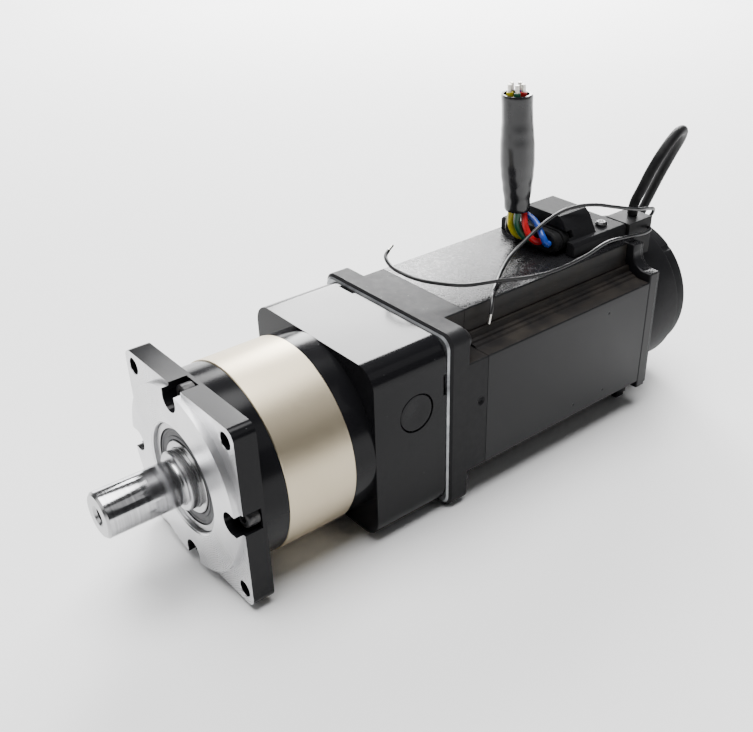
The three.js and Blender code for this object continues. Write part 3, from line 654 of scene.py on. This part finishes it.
def tube(name, line, radius, material):
    """A round curve through a fine line of points in reducer millimetres."""
    data = bpy.data.curves.new(name, "CURVE")
    data.dimensions = "3D"
    data.bevel_depth = radius * MM
    data.bevel_resolution = 5
    data.use_fill_caps = True
    spline = data.splines.new("POLY")
    spline.points.add(len(line) - 1)
    for point, spot in zip(spline.points, line):
        point.co = (*at(*spot), 1.0)
    spline.use_smooth = True
    data.materials.append(material)
    obj = bpy.data.objects.new(name, data)
    bpy.context.scene.collection.objects.link(obj)
    return obj


def split_line(line, tail):
    """The line without its last stretch, and that stretch, in millimetres."""
    left = tail
    index = len(line) - 1
    while index > 1 and left > 0:
        left -= (line[index] - line[index - 1]).length
        index -= 1
    return line[:index + 1], line[index:]


CONDUCTOR_RADIUS = 1.5
WIRE_RADIUS = 0.85
CABLE_RADIUS = 2.5
SLEEVE_FOOT = (184.0, 4.5, 62.0)
SLEEVE_HEAD = (182.5, 7.0, 115.0)
EXIT_X = 188.5


def conductor_route(start, shoulder, rise, seat_degrees):
    spread = 3.2
    seat = math.radians(seat_degrees)
    across = (spread * math.cos(seat), spread * math.sin(seat), 0.0)
    in_sleeve = []
    for share in (0.0, 0.35, 0.7, 1.08):
        in_sleeve.append(tuple(
            a + (b - a) * share + c for a, b, c in zip(SLEEVE_FOOT, SLEEVE_HEAD, across)
        ))
    y, z = start
    return [(EXIT_X, y, z), (EXIT_X - 1.5, y, z), shoulder, rise, *in_sleeve]


CONDUCTOR_ROUTES = {
    "yellow": conductor_route((4, 48), (183.6, 4.8, 50), (181, 5.7, 55.5), 158),
    "green": conductor_route((-1.5, 48), (183.8, -0.4, 50.2), (181.4, 1.8, 56), 230),
    "red": conductor_route((-7, 48.4), (184.2, -5, 50.6), (183.5, -1.6, 55.8), 298),
    "blue": conductor_route((-12.5, 49), (186, -10.8, 52.1), (188.6, -3.2, 56.8), 16),
    "black": conductor_route((9.5, 48), (184.6, 9.9, 50), (183.6, 9.2, 55.5), 86),
}

SIGNAL_WIRE_1 = [
    (247, -24.3, 45), (246, -26.4, 45), (241, -27.8, 44.9), (229, -27.4, 46), (212, -27.9, 48),
    (194, -29.7, 46.6), (174, -29, 45.2), (162, -27, 45.4), (146, -22, 46.6), (130, -18.3, 48.2),
    (120, -12.6, 50.2), (113.4, -6.8, 52), (110.4, 1, 53.4), (110.8, 8.5, 54), (113.6, 15.2, 55.4),
    (121, 19.4, 57),
]

SIGNAL_WIRE_2 = [
    (250.3, -18, 45.5), (253, -18.3, 45.8), (255.6, -19.4, 48.2), (254.6, -20.8, 51.3),
    (249, -22, 53.4), (237.5, -23.6, 56.4), (222, -21.5, 61), (214.6, -18.3, 62.9),
    (207, -14.6, 63.4), (198, -11.2, 62.2), (188.7, -8.6, 58), (176.7, -7.8, 52),
    (164, -10.4, 47.6), (151.4, -17.2, 44.8), (141.5, -24.2, 44.1), (136, -28.9, 43.6),
    (133, -31.6, 40.4), (131.4, -32, 34.6),
]

ENCODER_CABLE = [
    (243, -17, 50.3), (243.2, -17.3, 56), (245, -19.5, 64), (249, -21, 73), (256, -21.5, 81),
    (266, -20, 86), (277, -16, 85), (287, -9, 78), (294, 0, 66), (298, 9, 50), (300, 18, 30),
    (300, 26, 8), (299, 34, -12), (296, 43, -28), (290, 53, -37.4), (281, 62, -40.2),
    (268, 69, -40.3), (252, 73, -40.3), (236, 74, -39.4), (221.5, 74, -37.5),
]


def eased_radius(outline, height):
    """The radius at a height between (height, radius) points, eased in and out of each."""
    for (h0, r0), (h1, r1) in zip(outline, outline[1:]):
        if h0 <= height <= h1 and h1 > h0:
            share = (height - h0) / (h1 - h0)
            return r0 + (r1 - r0) * share * share * (3 - 2 * share)
    return outline[-1][1]


def shrink_sleeve():
    """The film is drawn in at its foot, swells over the bundle and is pinched along its length."""
    length = SLEEVE_HEAD[2] - SLEEVE_FOOT[2]
    outline = [(0, 5.7), (0.4, 6.05), (4, 6.15), (11, 7.0), (17, 7.7), (23, 8.05), (30, 8.0),
               (36, 7.6), (42, 7.2), (48, 7.15), (52.4, 7.25), (length, 7.0)]
    inside = [(length, 5.75), (26, 5.6), (0, 5.45)]
    heights = [index * length / 60 for index in range(61)]
    sides = 72
    bm = bmesh.new()

    def ring(height, radius_of):
        lean = height / length
        cx = SLEEVE_FOOT[0] + (SLEEVE_HEAD[0] - SLEEVE_FOOT[0]) * lean
        cy = SLEEVE_FOOT[1] + (SLEEVE_HEAD[1] - SLEEVE_FOOT[1]) * lean
        verts = []
        for i in range(sides):
            turn = 2 * math.pi * i / sides
            radius = radius_of(turn, height)
            spot = (cx + radius * math.cos(turn), cy + radius * math.sin(turn), SLEEVE_FOOT[2] + height)
            verts.append(bm.verts.new(at(*spot)))
        return verts

    def creased(turn, height):
        share = height / length
        pinch = 0.32 * math.cos(3 * turn + 2.6 * share) + 0.16 * math.cos(5 * turn - 4.0 * share)
        hold = min(1.0, height / 6.0)
        return eased_radius(outline, height) - 0.2 * hold + pinch * hold * 0.7

    rings = [ring(height, creased) for height in heights]
    rings += [ring(height, lambda turn, h, r=radius: r) for height, radius in inside]
    for first, second in zip(rings, rings[1:] + rings[:1]):
        for i in range(sides):
            j = (i + 1) % sides
            bm.faces.new((first[i], first[j], second[j], second[i]))
    sleeve = mesh_object("shrink_sleeve", bm, FILM, 50.0)
    return place(sleeve, "housing", "sleeve_film", "lead_sleeve")


def encoder_plug():
    shell = block("encoder_plug_shell", (195.2, 221.2), (66, 82), (-43, -31.5), MOULDED)
    carve(shell, [block("pocket", (190, 203), (68, 80), (-41, -33.5), MOULDED)])
    ribs = [block("rib", (x, x + 0.9), (60, 65.6), (-45, -30), MOULDED) for x in (209, 211.5, 214)]
    for side in (1, -1):
        for x in (207, 209.4, 211.8, 214.2):
            groove_y = (81.5, 84) if side > 0 else (64, 66.5)
            ribs.append(block("groove", (x, x + 1.0), groove_y, (-41, -33.5), MOULDED))
    carve(shell, ribs)
    soften(shell, 0.5, 3)
    place(shell, "housing", "cover_plastic", "encoder_connector")
    pins = []
    for row, z in enumerate((-39.2, -35.4)):
        for column in range(3):
            pin = revolve(f"encoder_pin_{row}_{column}", [(0, 0), (0, 0.5), (6.4, 0.5), (7, 0.3), (7, 0)],
                          TINNED, 20, (70.4 + 3.6 * column, z), "X", 196.2)
            pins.append(place(pin, "housing", "bearing_steel"))
    return [shell, *pins]


def make_cords():
    sleeve = shrink_sleeve()
    for colour, route in CONDUCTOR_ROUTES.items():
        line = catmull(route, 12)
        covered, stripped = split_line(line, 2.6)
        conductor = tube(f"conductor_{colour}", covered, CONDUCTOR_RADIUS, WIRES[colour])
        place(conductor, "housing", f"wire_{colour}", f"lead_conductor_{colour}")
        strands = tube(f"conductor_{colour}_strands", stripped, 1.0, TINNED)
        place(strands, "housing", "copper")
    for index, route in enumerate((SIGNAL_WIRE_1, SIGNAL_WIRE_2), 1):
        line = catmull(route, 10)
        covered, tip_line = split_line(line, 4.0)
        wire = tube(f"thin_wire_{index}", covered, WIRE_RADIUS, WIRES["black"])
        place(wire, "housing", "wire_black", f"signal_wire_{index}")
        tip = tube(f"thin_wire_{index}_tip", tip_line, WIRE_RADIUS * 0.72, TINNED)
        place(tip, "housing", "bearing_steel")
    line = catmull(ENCODER_CABLE, 10)
    cable = tube("encoder_lead", line, CABLE_RADIUS, RUBBER)
    place(cable, "housing", "wire_black", "encoder_cable")
    plug = encoder_plug()


make_cords()


# ------------------------------------------------------------------ reducer
def hole(x0, x1, radius, y, z, sides=48):
    return revolve("hole", [(x0, 0), (x0, radius), (x1, radius), (x1, 0)], BLACK, sides, (y, z))


def output_housing():
    outline = rounded_square(FLANGE_HALF, FLANGE_CORNER)
    body = loft("flange_casting", [(0, outline), (FLANGE_THICKNESS, outline)], BLACK)
    hub = revolve("hub", [(FLANGE_THICKNESS - 1, 0), (FLANGE_THICKNESS - 1, FLANGE_HALF - 0.02),
                          (HUB_END - 0.15, FLANGE_HALF - 0.02), (HUB_END - 0.15, 0)], BLACK, 192)
    pilot = revolve("pilot", [(PILOT_FACE, 0), (PILOT_FACE, PILOT_RADIUS), (1, PILOT_RADIUS), (1, 0)], BLACK)
    carve(body, [hub, pilot], "UNION")
    cutters = [revolve("bore", [(-6, 0), (-6, 24.2), (PILOT_FACE, 24.2), (PILOT_FACE + 0.7, 23.5),
                                (11.3, 23.5), (11.3, 19.5), (30, 19.5), (30, 0)], BLACK)]
    for y, z in CORNERS:
        cutters.append(revolve("hole", [(-6, 0), (-6, 3.8), (-0.05, 3.8), (0.25, 3.5), (15, 3.5), (15, 0)],
                               BLACK, 48, (y * BOLT_OFFSET, z * BOLT_OFFSET)))
    for y, z in SIDES:
        cutters.append(hole(-6, 7.8, 4.9, y * SCREW_CIRCLE, z * SCREW_CIRCLE, 64))
        reach_y = sorted((y * SCREW_CIRCLE, y * 50)) if y else (-4.65, 4.65)
        reach_z = sorted((z * SCREW_CIRCLE, z * 50)) if z else (-4.65, 4.65)
        cutters.append(block("slot", (-6, 7.8), reach_y, reach_z, BLACK))
    carve(body, cutters)
    paint_faces(body, BARE, front_is_bare)
    soften(body, 0.3, 3)
    place(body, "housing", "anodised_black", "output_housing")


def front_is_bare(spot, normal):
    x, y, z = spot
    radius = math.hypot(y, z)
    on_front = normal.x < -0.5 and x < 1.0
    on_pilot_wall = x < 0.0 and radius > 38.5 and abs(normal.x) < 0.3
    in_recess = x < 11.0 and radius < 24.5 and abs(normal.x) < 0.8
    return on_front or on_pilot_wall or in_recess


def ring_gear():
    """A smooth band that closes round the toothed ring, whose facets would show as lines."""
    band = RING_RADIUS + 0.04
    ring = revolve("ring_gear_band", [
        (HUB_END - 0.05, 35), (HUB_END - 0.05, band - 0.4), (HUB_END + 0.35, band),
        (RING_END - 0.35, band), (RING_END + 0.05, band - 0.4), (RING_END + 0.05, 35),
        (HUB_END - 0.05, 35)], NICKEL, 192)
    soften(ring, 0.15, 2, 20.0)
    place(ring, "housing", "satin_nickel")
    assign("ring_gear", GEAR)


def input_housing():
    outline = rounded_square(ADAPTER_HALF, ADAPTER_CORNER, 24)
    body = loft("adapter_block", [(NECK_END, outline), (ADAPTER_END, outline)], BLACK)
    neck = revolve("neck", [(RING_END + 0.15, 0), (RING_END + 0.15, NECK_RADIUS - 0.03),
                            (NECK_END + 1, NECK_RADIUS - 0.03), (NECK_END + 1, 0)], BLACK, 192)
    carve(body, [neck], "UNION")
    cutters = [
        revolve("bore", [(50, 0), (50, 17), (55, 17), (55, 23.5), (64.3, 23.5), (64.3, 29), (96.4, 29),
                         (96.4, 36.8), (101, 36.8), (101, 0)], BLACK),
        revolve("plug_seat", [(0, 0), (0, PLUG_RADIUS + 0.32), (4.2, PLUG_RADIUS + 0.32),
                              (4.2, PLUG_RADIUS - 1.5), (22, PLUG_RADIUS - 1.5), (22, 0)],
                BLACK, 96, (PLUG_X, PLUG_Z), "Y", -ADAPTER_HALF - 1),
        block("pry_slot", (ADAPTER_END - 1.6, 102), (19, 29), (ADAPTER_HALF - 1.6, 45), BLACK),
        block("pry_slot", (ADAPTER_END - 1.6, 102), (-45, -ADAPTER_HALF + 1.6), (16.5, 26.5), BLACK),
    ]
    cutters += [hole(80, 101, 2.8, y * BOLT_OFFSET, z * BOLT_OFFSET, 32) for y, z in CORNERS]
    carve(body, cutters)
    soften(body, 0.3, 3)
    place(body, "housing", "anodised_black", "input_housing")


def access_plug():
    face = -ADAPTER_HALF + 0.18
    plug = revolve("plug_button", [
        (0.35, 0), (0.35, 3.0), (0.0, 6.6), (0.05, PLUG_RADIUS - 0.5), (0.5, PLUG_RADIUS),
        (2.6, PLUG_RADIUS), (2.6, 6.6), (6.8, 6.6), (6.8, 0)], BLACK, 96, (PLUG_X, PLUG_Z), "Y", face)
    place(plug, "housing", "anodised_black", "access_plug")


def socket_screw(name, spot, facing, head_radius, head_length, shank_radius, shank_length, node):
    """A cap screw along X. facing is -1 when its head looks towards the output shaft."""
    x, y, z = spot
    profile = [(0, 0), (0, head_radius - 0.45), (0.18, head_radius - 0.2), (0.5, head_radius),
               (head_length, head_radius), (head_length, shank_radius), (shank_length, shank_radius),
               (shank_length + 0.4, shank_radius - 0.4), (shank_length + 0.4, 0)]
    turned = [(x - facing * along, radius) for along, radius in profile]
    screw = revolve(name, turned, OXIDE, 64, (y, z))
    ends = sorted((x + facing, x - facing * head_length * 0.55))
    socket = revolve("socket", [(ends[0], 0), (ends[0], head_radius * 0.56), (ends[1], head_radius * 0.56),
                                (ends[1], 0)], OXIDE, 6, (y, z))
    carve(screw, [socket])
    soften(screw, 0.12, 2, 40.0)
    place(screw, "housing", "black_oxide", node)


def housing_screws():
    for index, (y, z) in enumerate(SIDES, 1):
        spot = (2.35, y * SCREW_CIRCLE, z * SCREW_CIRCLE)
        socket_screw(f"housing_cap_screw_{index}", spot, -1, BIG_CAP_HEAD, 5.1, BIG_CAP_SHANK, 30.2,
                     f"housing_screw_{index}")


def output_bearing():
    outer = revolve("bearing_outer_ring", [
        (-1, 20.75), (-0.9, 20.62), (-1, 23.0), (-0.7, 23.25), (10.9, 23.25), (11.2, 23.0),
        (11.2, 20.6), (9.6, 20.6), (9.0, 20.1), (1.2, 20.1), (0.6, 20.75), (-1, 20.75)], RACE)
    place(outer, "housing", "bearing_steel", "output_bearing_outer_race")
    inner = revolve("bearing_inner_ring", [
        (-1, 12.9), (-0.8, 12.62), (11, 12.62), (11.2, 12.9), (11.2, 15.2), (10.9, 15.45), (-0.7, 15.45),
        (-1, 15.2), (-1, 12.9)], RACE)
    place(inner, "output", "bearing_steel", "output_bearing_inner_race")
    shield = revolve("bearing_shield_disc", [
        (-0.35, 15.75), (-0.55, 16.0), (-0.55, 17.2), (-0.25, 17.5), (-0.25, 18.9), (-0.5, 19.2),
        (-0.5, 20.1), (-0.2, 20.45), (0.4, 20.45), (0.4, 15.75), (-0.35, 15.75)], SHIELD)
    place(shield, "housing", "bearing_steel", "output_bearing_shield")


def output_shaft():
    shaft = revolve("shaft_and_carrier", [
        (SHAFT_TIP + 12, 0), (SHAFT_TIP + 11, 3.1), (SHAFT_TIP + 1.1, 3.1), (SHAFT_TIP + 0.1, 4.1),
        (SHAFT_TIP, 4.2), (SHAFT_TIP, 8.5), (SHAFT_TIP + 1.0, 9.5), (-7.6, 9.5), (-7.2, 9.35), (-6.5, 9.35),
        (-5.9, 9.6), (-5.5, 10.1), (-5.5, 12.0), (-5.0, 12.5), (22.7, 12.5), (22.7, 15.0), (23.4, 15.0),
        (23.4, 27.0), (23.9, 27.5), (28.1, 27.5), (28.6, 27.0), (28.6, 0)], STEEL, 160)
    carve(shaft, [hole(24, 30, 3.8, *on_circle(PLANET_ORBIT, turn)) for turn in (90, 210, 330)])
    paint_faces(shaft, RACE, lambda spot, normal: abs(normal.x) > 0.25 or spot[0] > -7.3)
    paint_faces(shaft, OXIDE, lambda spot, normal: -36.8 < spot[0] < -20 and math.hypot(*spot[1:]) < 3.3)
    soften(shaft, 0.15, 2, 25.0)
    place(shaft, "output", "shaft_steel", "output_shaft")


# ------------------------------------------------------------------ motor
def motor_section(flat, fillet, bead=True):
    """One quarter of the motor's outline, from its +Y face to its +Z face round the channel."""
    edge = 0.7
    points = arc(MOTOR_HALF - edge, flat - edge, edge, 0, 90, 5)
    if bead:
        floor = [(37.5, flat), (33.6, flat), (32.6, flat + 0.5), *arc(31.4, flat + 1.5, 1.0, -60, 100, 6),
                 (29.6, flat + 3.1), (29.3, flat + 4.6), (28.6, flat + 5.1), (28.4, flat + 6.8),
                 (flat + 0.2, flat + 7.6), (flat, flat + 9.0)]
    else:
        floor = list(reversed(arc(flat + fillet, flat + fillet, fillet, 180, 270, 12)))
    points += floor
    points += arc(flat - edge, MOTOR_HALF - edge, edge, 0, 90, 5)
    return quarter_turned(points)


def in_channel(spot, normal):
    return all(27.0 < abs(value) < 42.6 for value in spot[1:]) and abs(normal.x) < 0.5


def motor_front_bell():
    chamfer = 1.8
    full = rounded_square(MOTOR_HALF, MOTOR_CORNER, 20)
    lead = inset(full, chamfer, MOTOR_HALF)
    bare = 0.75
    middle = inset(full, chamfer - bare, MOTOR_HALF)
    flange = loft("motor_flange", [(MOTOR_FACE, lead), (MOTOR_FACE + bare, middle),
                                   (MOTOR_FACE + chamfer, full), (MOTOR_FLANGE_END, full)], FLANGE_PAINT)
    paint_faces(flange, WORN, lambda spot, normal: spot[0] < MOTOR_FACE + bare)
    section = motor_section(CHANNEL_FLAT, 6.0, False)
    bell = loft("bell", [(MOTOR_FLANGE_END - 1, section), (FRONT_BELL_END, section)], FLANGE_PAINT)
    spigot = revolve("spigot", [(96.8, 0), (96.8, 36), (97.3, 36.5), (MOTOR_FACE + 1, 36.5),
                                (MOTOR_FACE + 1, 0)], FLANGE_PAINT)
    carve(flange, [bell, spigot], "UNION")
    cutters = [hole(98, 112, 2.8, y * BOLT_OFFSET, z * BOLT_OFFSET, 32) for y, z in CORNERS]
    cutters.append(revolve("bore", [(95, 0), (95, 14), (102.8, 14), (102.8, 21), (115.2, 21), (115.2, 33),
                                    (123, 33), (123, 0)], FLANGE_PAINT))
    cutters.append(revolve("dimple", [(-1, 0), (-1, 2.4), (0.0, 2.2), (0.5, 1.5), (1.0, 1.2), (1.2, 0)],
                           FLANGE_PAINT, 40, (117.5, 6.7), "Y", -MOTOR_HALF))
    carve(flange, cutters)
    paint_faces(flange, CHANNEL, lambda spot, normal: spot[0] > MOTOR_FLANGE_END and in_channel(spot, normal))
    soften(flange, 0.35, 3)
    place(flange, "housing", "motor_paint", "motor_front_bell")


def motor_body():
    section = motor_section(CHANNEL_FLAT, 6.0)
    body = loft("motor_casing", [(FRONT_BELL_END + 0.25, section), (BODY_END, section)], PAINT)
    cutters = [revolve("bore", [(120, 0), (120, 36), (229, 36), (229, 0)], PAINT)]
    cutters.append(block("lead_opening", (200, 222), (-8, 8), (30, 50), PAINT))
    for x, z in ((199, 21), (179, -21), (200, -21)):
        cutters.append(revolve("dimple", [(-1, 0), (-1, 0.9), (0.05, 0.8), (0.45, 0)], PAINT, 24, (x, z), "Y",
                               -MOTOR_HALF))
    carve(body, cutters)
    paint_faces(body, CHANNEL, in_channel)
    soften(body, 0.2, 2)
    place(body, "housing", "motor_paint", "motor_body")


def motor_rear_bell():
    section = motor_section(CHANNEL_FLAT + 4.0, 8.0, False)
    edge = inset(section, 0.35, MOTOR_HALF)
    smaller = inset(section, 0.9, MOTOR_HALF)
    bell = loft("motor_end_bell", [(BODY_END + 0.3, edge), (BODY_END + 0.8, section),
                                   (REAR_BELL_END - 2.4, section), (REAR_BELL_END - 2.0, smaller),
                                   (REAR_BELL_END, smaller)], PAINT)
    bore = revolve("bore", [(226, 0), (226, 17.5), (235.2, 17.5), (235.2, 11), (238, 11), (238, 0)], PAINT)
    carve(bell, [bore])
    soften(bell, 0.25, 2)
    place(bell, "housing", "motor_paint", "motor_rear_bell")


def rear_cover():
    start = REAR_BELL_END + 0.3
    cover = revolve("encoder_cover", [
        (start, 36), (start, COVER_RADIUS - 0.3), (start + 0.3, COVER_RADIUS),
        (COVER_STEP - 1.4, COVER_RADIUS), (COVER_STEP - 0.6, COVER_RADIUS - 0.25),
        (COVER_STEP, COVER_RADIUS - 0.9), (COVER_STEP, COVER_RIM_RADIUS),
        (REAR_END - 1.4, COVER_RIM_RADIUS), (REAR_END - 0.5, COVER_RIM_RADIUS - 0.4),
        (REAR_END, COVER_RIM_RADIUS - 1.3), (REAR_END, 24.5), (REAR_END - 0.6, 24), (REAR_END - 0.6, 0),
        (REAR_END - 5, 0), (REAR_END - 5, 33.5), (COVER_STEP - 3, 33.5), (COVER_STEP - 3, 36), (start, 36)],
        MOULDED, 160)
    angle = math.atan2(27, -22)
    notch = revolve("notch", [(COVER_STEP + 1, 0), (COVER_STEP + 1, 2.6), (275, 2.6), (275, 0)], MOULDED, 32,
                    (38.2 * math.cos(angle), 38.2 * math.sin(angle)))
    seats = []
    for turn in COVER_SCREW_TURNS:
        profile = [(262, 0), (262, 1.8), (REAR_END - 2.5, 1.8), (REAR_END - 2.5, 3.1), (275, 3.1), (275, 0)]
        seats.append(revolve("seat", profile, MOULDED, 48, on_circle(COVER_SCREW_CIRCLE, turn)))
    carve(cover, [notch, *seats])
    soften(cover, 0.25, 2, 25.0)
    place(cover, "housing", "cover_plastic", "rear_cover")
    for index, turn in enumerate(COVER_SCREW_TURNS, 1):
        spot = (REAR_END - 0.1, *on_circle(COVER_SCREW_CIRCLE, turn))
        socket_screw(f"cover_cap_screw_{index}", spot, 1, 2.8, 2.1, 1.45, 8.4, f"cover_screw_{index}")


def motor_screws():
    for index, (y, z) in enumerate(CORNERS, 1):
        spot = (MOTOR_FLANGE_END + 5.05, y * BOLT_OFFSET, z * BOLT_OFFSET)
        socket_screw(f"motor_cap_screw_{index}", spot, 1, BIG_CAP_HEAD, 4.95, BIG_CAP_SHANK, 27.4,
                     f"motor_screw_{index}")


# ------------------------------------------------------------------ lead entry
def lead_cover():
    top = MOTOR_HALF + 0.1
    foot = [(-22.7, top), (25, top), (25, 48.6), (24, 49.9), (-21.4, 49.9), (-22.7, 48.4)]
    body = loft("lead_box", [(194.5, foot), (232, foot)], MOULDED)
    ridge = [(-20.6, 47), (14.2, 47), (10.6, 59.0), (9.6, 60), (-11.4, 60), (-13.9, 58.2)]
    deck = loft("deck", [(195.6, ridge), (214, ridge)], MOULDED)
    carve(body, [deck], "UNION")
    carve(body, [
        block("inside", (198, 229), (-19, 21), (40, 47.5), MOULDED),
        block("front_opening", (190, 199), (-18, 15), (40, 54), MOULDED),
        hole_z(46, 52, 1.8, *LEAD_SCREW),
    ])
    soften(body, 0.7, 4, 25.0)
    place(body, "housing", "cover_plastic", "lead_cover")
    screw = revolve("lead_box_screw", [(46.8, 0), (46.8, 1.3), (50.35, 1.3), (50.35, 2.95), (51.2, 2.8),
                                       (51.9, 2.0), (52.05, 0)], OXIDE, 48, LEAD_SCREW, "Z")
    x, y = LEAD_SCREW
    slots = [block("cross", (x - a, x + a), (y - b, y + b), (51.2, 53), OXIDE)
             for a, b in ((1.6, 0.3), (0.3, 1.6))]
    carve(screw, slots)
    place(screw, "housing", "black_oxide", "lead_cover_screw")


def hole_z(z0, z1, radius, x, y):
    return revolve("hole", [(z0, 0), (z0, radius), (z1, radius), (z1, 0)], BLACK, 32, (x, y), "Z")


def grommet():
    centre = MOTOR_HALF + 0.35 + 5.2
    outline = arc(8.5, centre, 5.15, -90, 90, 16) + arc(-11.5, centre, 5.15, 90, 270, 16)
    small = arc(8.5, centre, 4.2, -90, 90, 16) + arc(-11.5, centre, 4.2, 90, 270, 16)
    body = loft("lead_boot", [(189.02, small), (189.9, outline), (193.2, outline), (193.4, small),
                              (194.3, small), (194.5, outline), (198.4, outline)], RUBBER)
    soften(body, 0.3, 3, 25.0)
    place(body, "housing", "lead_rubber", "lead_grommet")


def encoder_boot():
    body = block("signal_boot", (232.5, 250), (-24, -9), (MOTOR_HALF + 0.1, 50), RUBBER)
    lower = block("lower", (REAR_BELL_END + 0.6, 250), (-24, -9), (28, MOTOR_HALF + 1), RUBBER)
    carve(body, [lower], "UNION")
    carve(body, [revolve("saddle", [(228, 0), (228, COVER_RADIUS + 0.2), (252, COVER_RADIUS + 0.2), (252, 0)],
                         RUBBER)])
    soften(body, 1.1, 5, 40.0)
    place(body, "housing", "lead_rubber", "encoder_boot")


# ------------------------------------------------------------------ inner CAD nodes
def assign(node, material):
    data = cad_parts[node].data
    data.materials.clear()
    data.materials.append(material)


def finish_inner_nodes():
    finishes = {
        RACE: ["carrier_bearing_outer_race", "carrier_bearing_inner_race", "input_bearing_outer_race",
               "input_bearing_inner_race", "motor_front_bearing_outer_race", "motor_front_bearing_inner_race",
               "motor_rear_bearing_outer_race", "motor_rear_bearing_inner_race"],
        GEAR: ["carrier_plate", "planet_gear_1", "planet_gear_2", "planet_gear_3", "sun_gear", "clamp_hub"],
        STEEL: ["planet_pin_1", "planet_pin_2", "planet_pin_3", "motor_shaft"],
        LAMINATIONS: ["stator_core", "rotor_core"],
        COPPER: ["stator_winding"],
        BARE: ["encoder_disc"],
        BOARD: ["encoder_board"],
        OXIDE: ["clamp_screw"],
    }
    for material, nodes in finishes.items():
        for node in nodes:
            assign(node, material)


# ------------------------------------------------------------------ studio
def area_light(name, spot, target, size, power):
    data = bpy.data.lights.new(name, "AREA")
    data.shape = "RECTANGLE"
    data.size, data.size_y = size
    data.energy = power
    light = bpy.data.objects.new(name, data)
    light.location = spot
    aim = Vector(target) - Vector(spot)
    light.rotation_euler = aim.to_track_quat("-Z", "Y").to_euler()
    bpy.context.scene.collection.objects.link(light)


def make_studio():
    """Softboxes for the flat tops, and cards that the round parts mirror near their outlines."""
    bm = bmesh.new()
    bmesh.ops.create_grid(bm, x_segments=1, y_segments=1, size=40.0)
    floor = mesh_object("floor", bm, floor_paper())
    floor.location.z = -0.0005
    make_world()
    area_light("back_softbox", (0.82, 1.17, 0.78), (0.0, 0.0, 0.05), (0.40, 0.60), 31.0)
    area_light("back_fill", (0.47, 1.17, 0.95), (-0.1, 0.0, 0.08), (0.24, 0.40), 3.4)
    area_light("side_softbox", (1.26, 0.86, 0.66), (0.06, 0.0, 0.05), (0.46, 0.56), 22.0)
    area_light("left_card", (-1.6, 0.5, 0.9), (0.0, 0.0, 0.05), (1.2, 1.2), 8.0)
    area_light("horizon_card", (0.66, 1.52, 0.22), (0.0, 0.0, 0.05), (1.4, 0.44), 10.0)
    area_light("front_card", (0.75, -1.10, 1.25), (0.0, 0.0, 0.05), (1.0, 0.8), 1.8)
    overhead = bpy.data.lights.new("overhead", "SUN")
    overhead.energy = 6.2
    overhead.angle = math.radians(52)
    lamp = bpy.data.objects.new("overhead", overhead)
    lamp.rotation_euler = (math.radians(-6), 0.0, 0.0)
    bpy.context.scene.collection.objects.link(lamp)


def make_world():
    """A dim room round the object, behind a pale backdrop that is only there to be seen."""
    world = bpy.data.worlds.new("studio")
    world.use_nodes = True
    tree = world.node_tree
    room = tree.nodes["Background"]
    room.inputs["Color"].default_value = (0.93, 0.95, 1.0, 1.0)
    room.inputs["Strength"].default_value = 0.045
    backdrop = tree.nodes.new("ShaderNodeBackground")
    backdrop.inputs["Color"].default_value = (1.0, 1.0, 1.0, 1.0)
    backdrop.inputs["Strength"].default_value = 1.25
    seen = tree.nodes.new("ShaderNodeLightPath").outputs["Is Camera Ray"]
    mix = tree.nodes.new("ShaderNodeMixShader")
    tree.links.new(seen, mix.inputs["Fac"])
    tree.links.new(room.outputs["Background"], mix.inputs[1])
    tree.links.new(backdrop.outputs["Background"], mix.inputs[2])
    tree.links.new(mix.outputs["Shader"], tree.nodes["World Output"].inputs["Surface"])
    bpy.context.scene.world = world


output_housing()
ring_gear()
input_housing()
access_plug()
housing_screws()
output_bearing()
output_shaft()
motor_front_bell()
motor_body()
motor_rear_bell()
rear_cover()
motor_screws()
lead_cover()
grommet()
encoder_boot()
finish_inner_nodes()
make_studio()
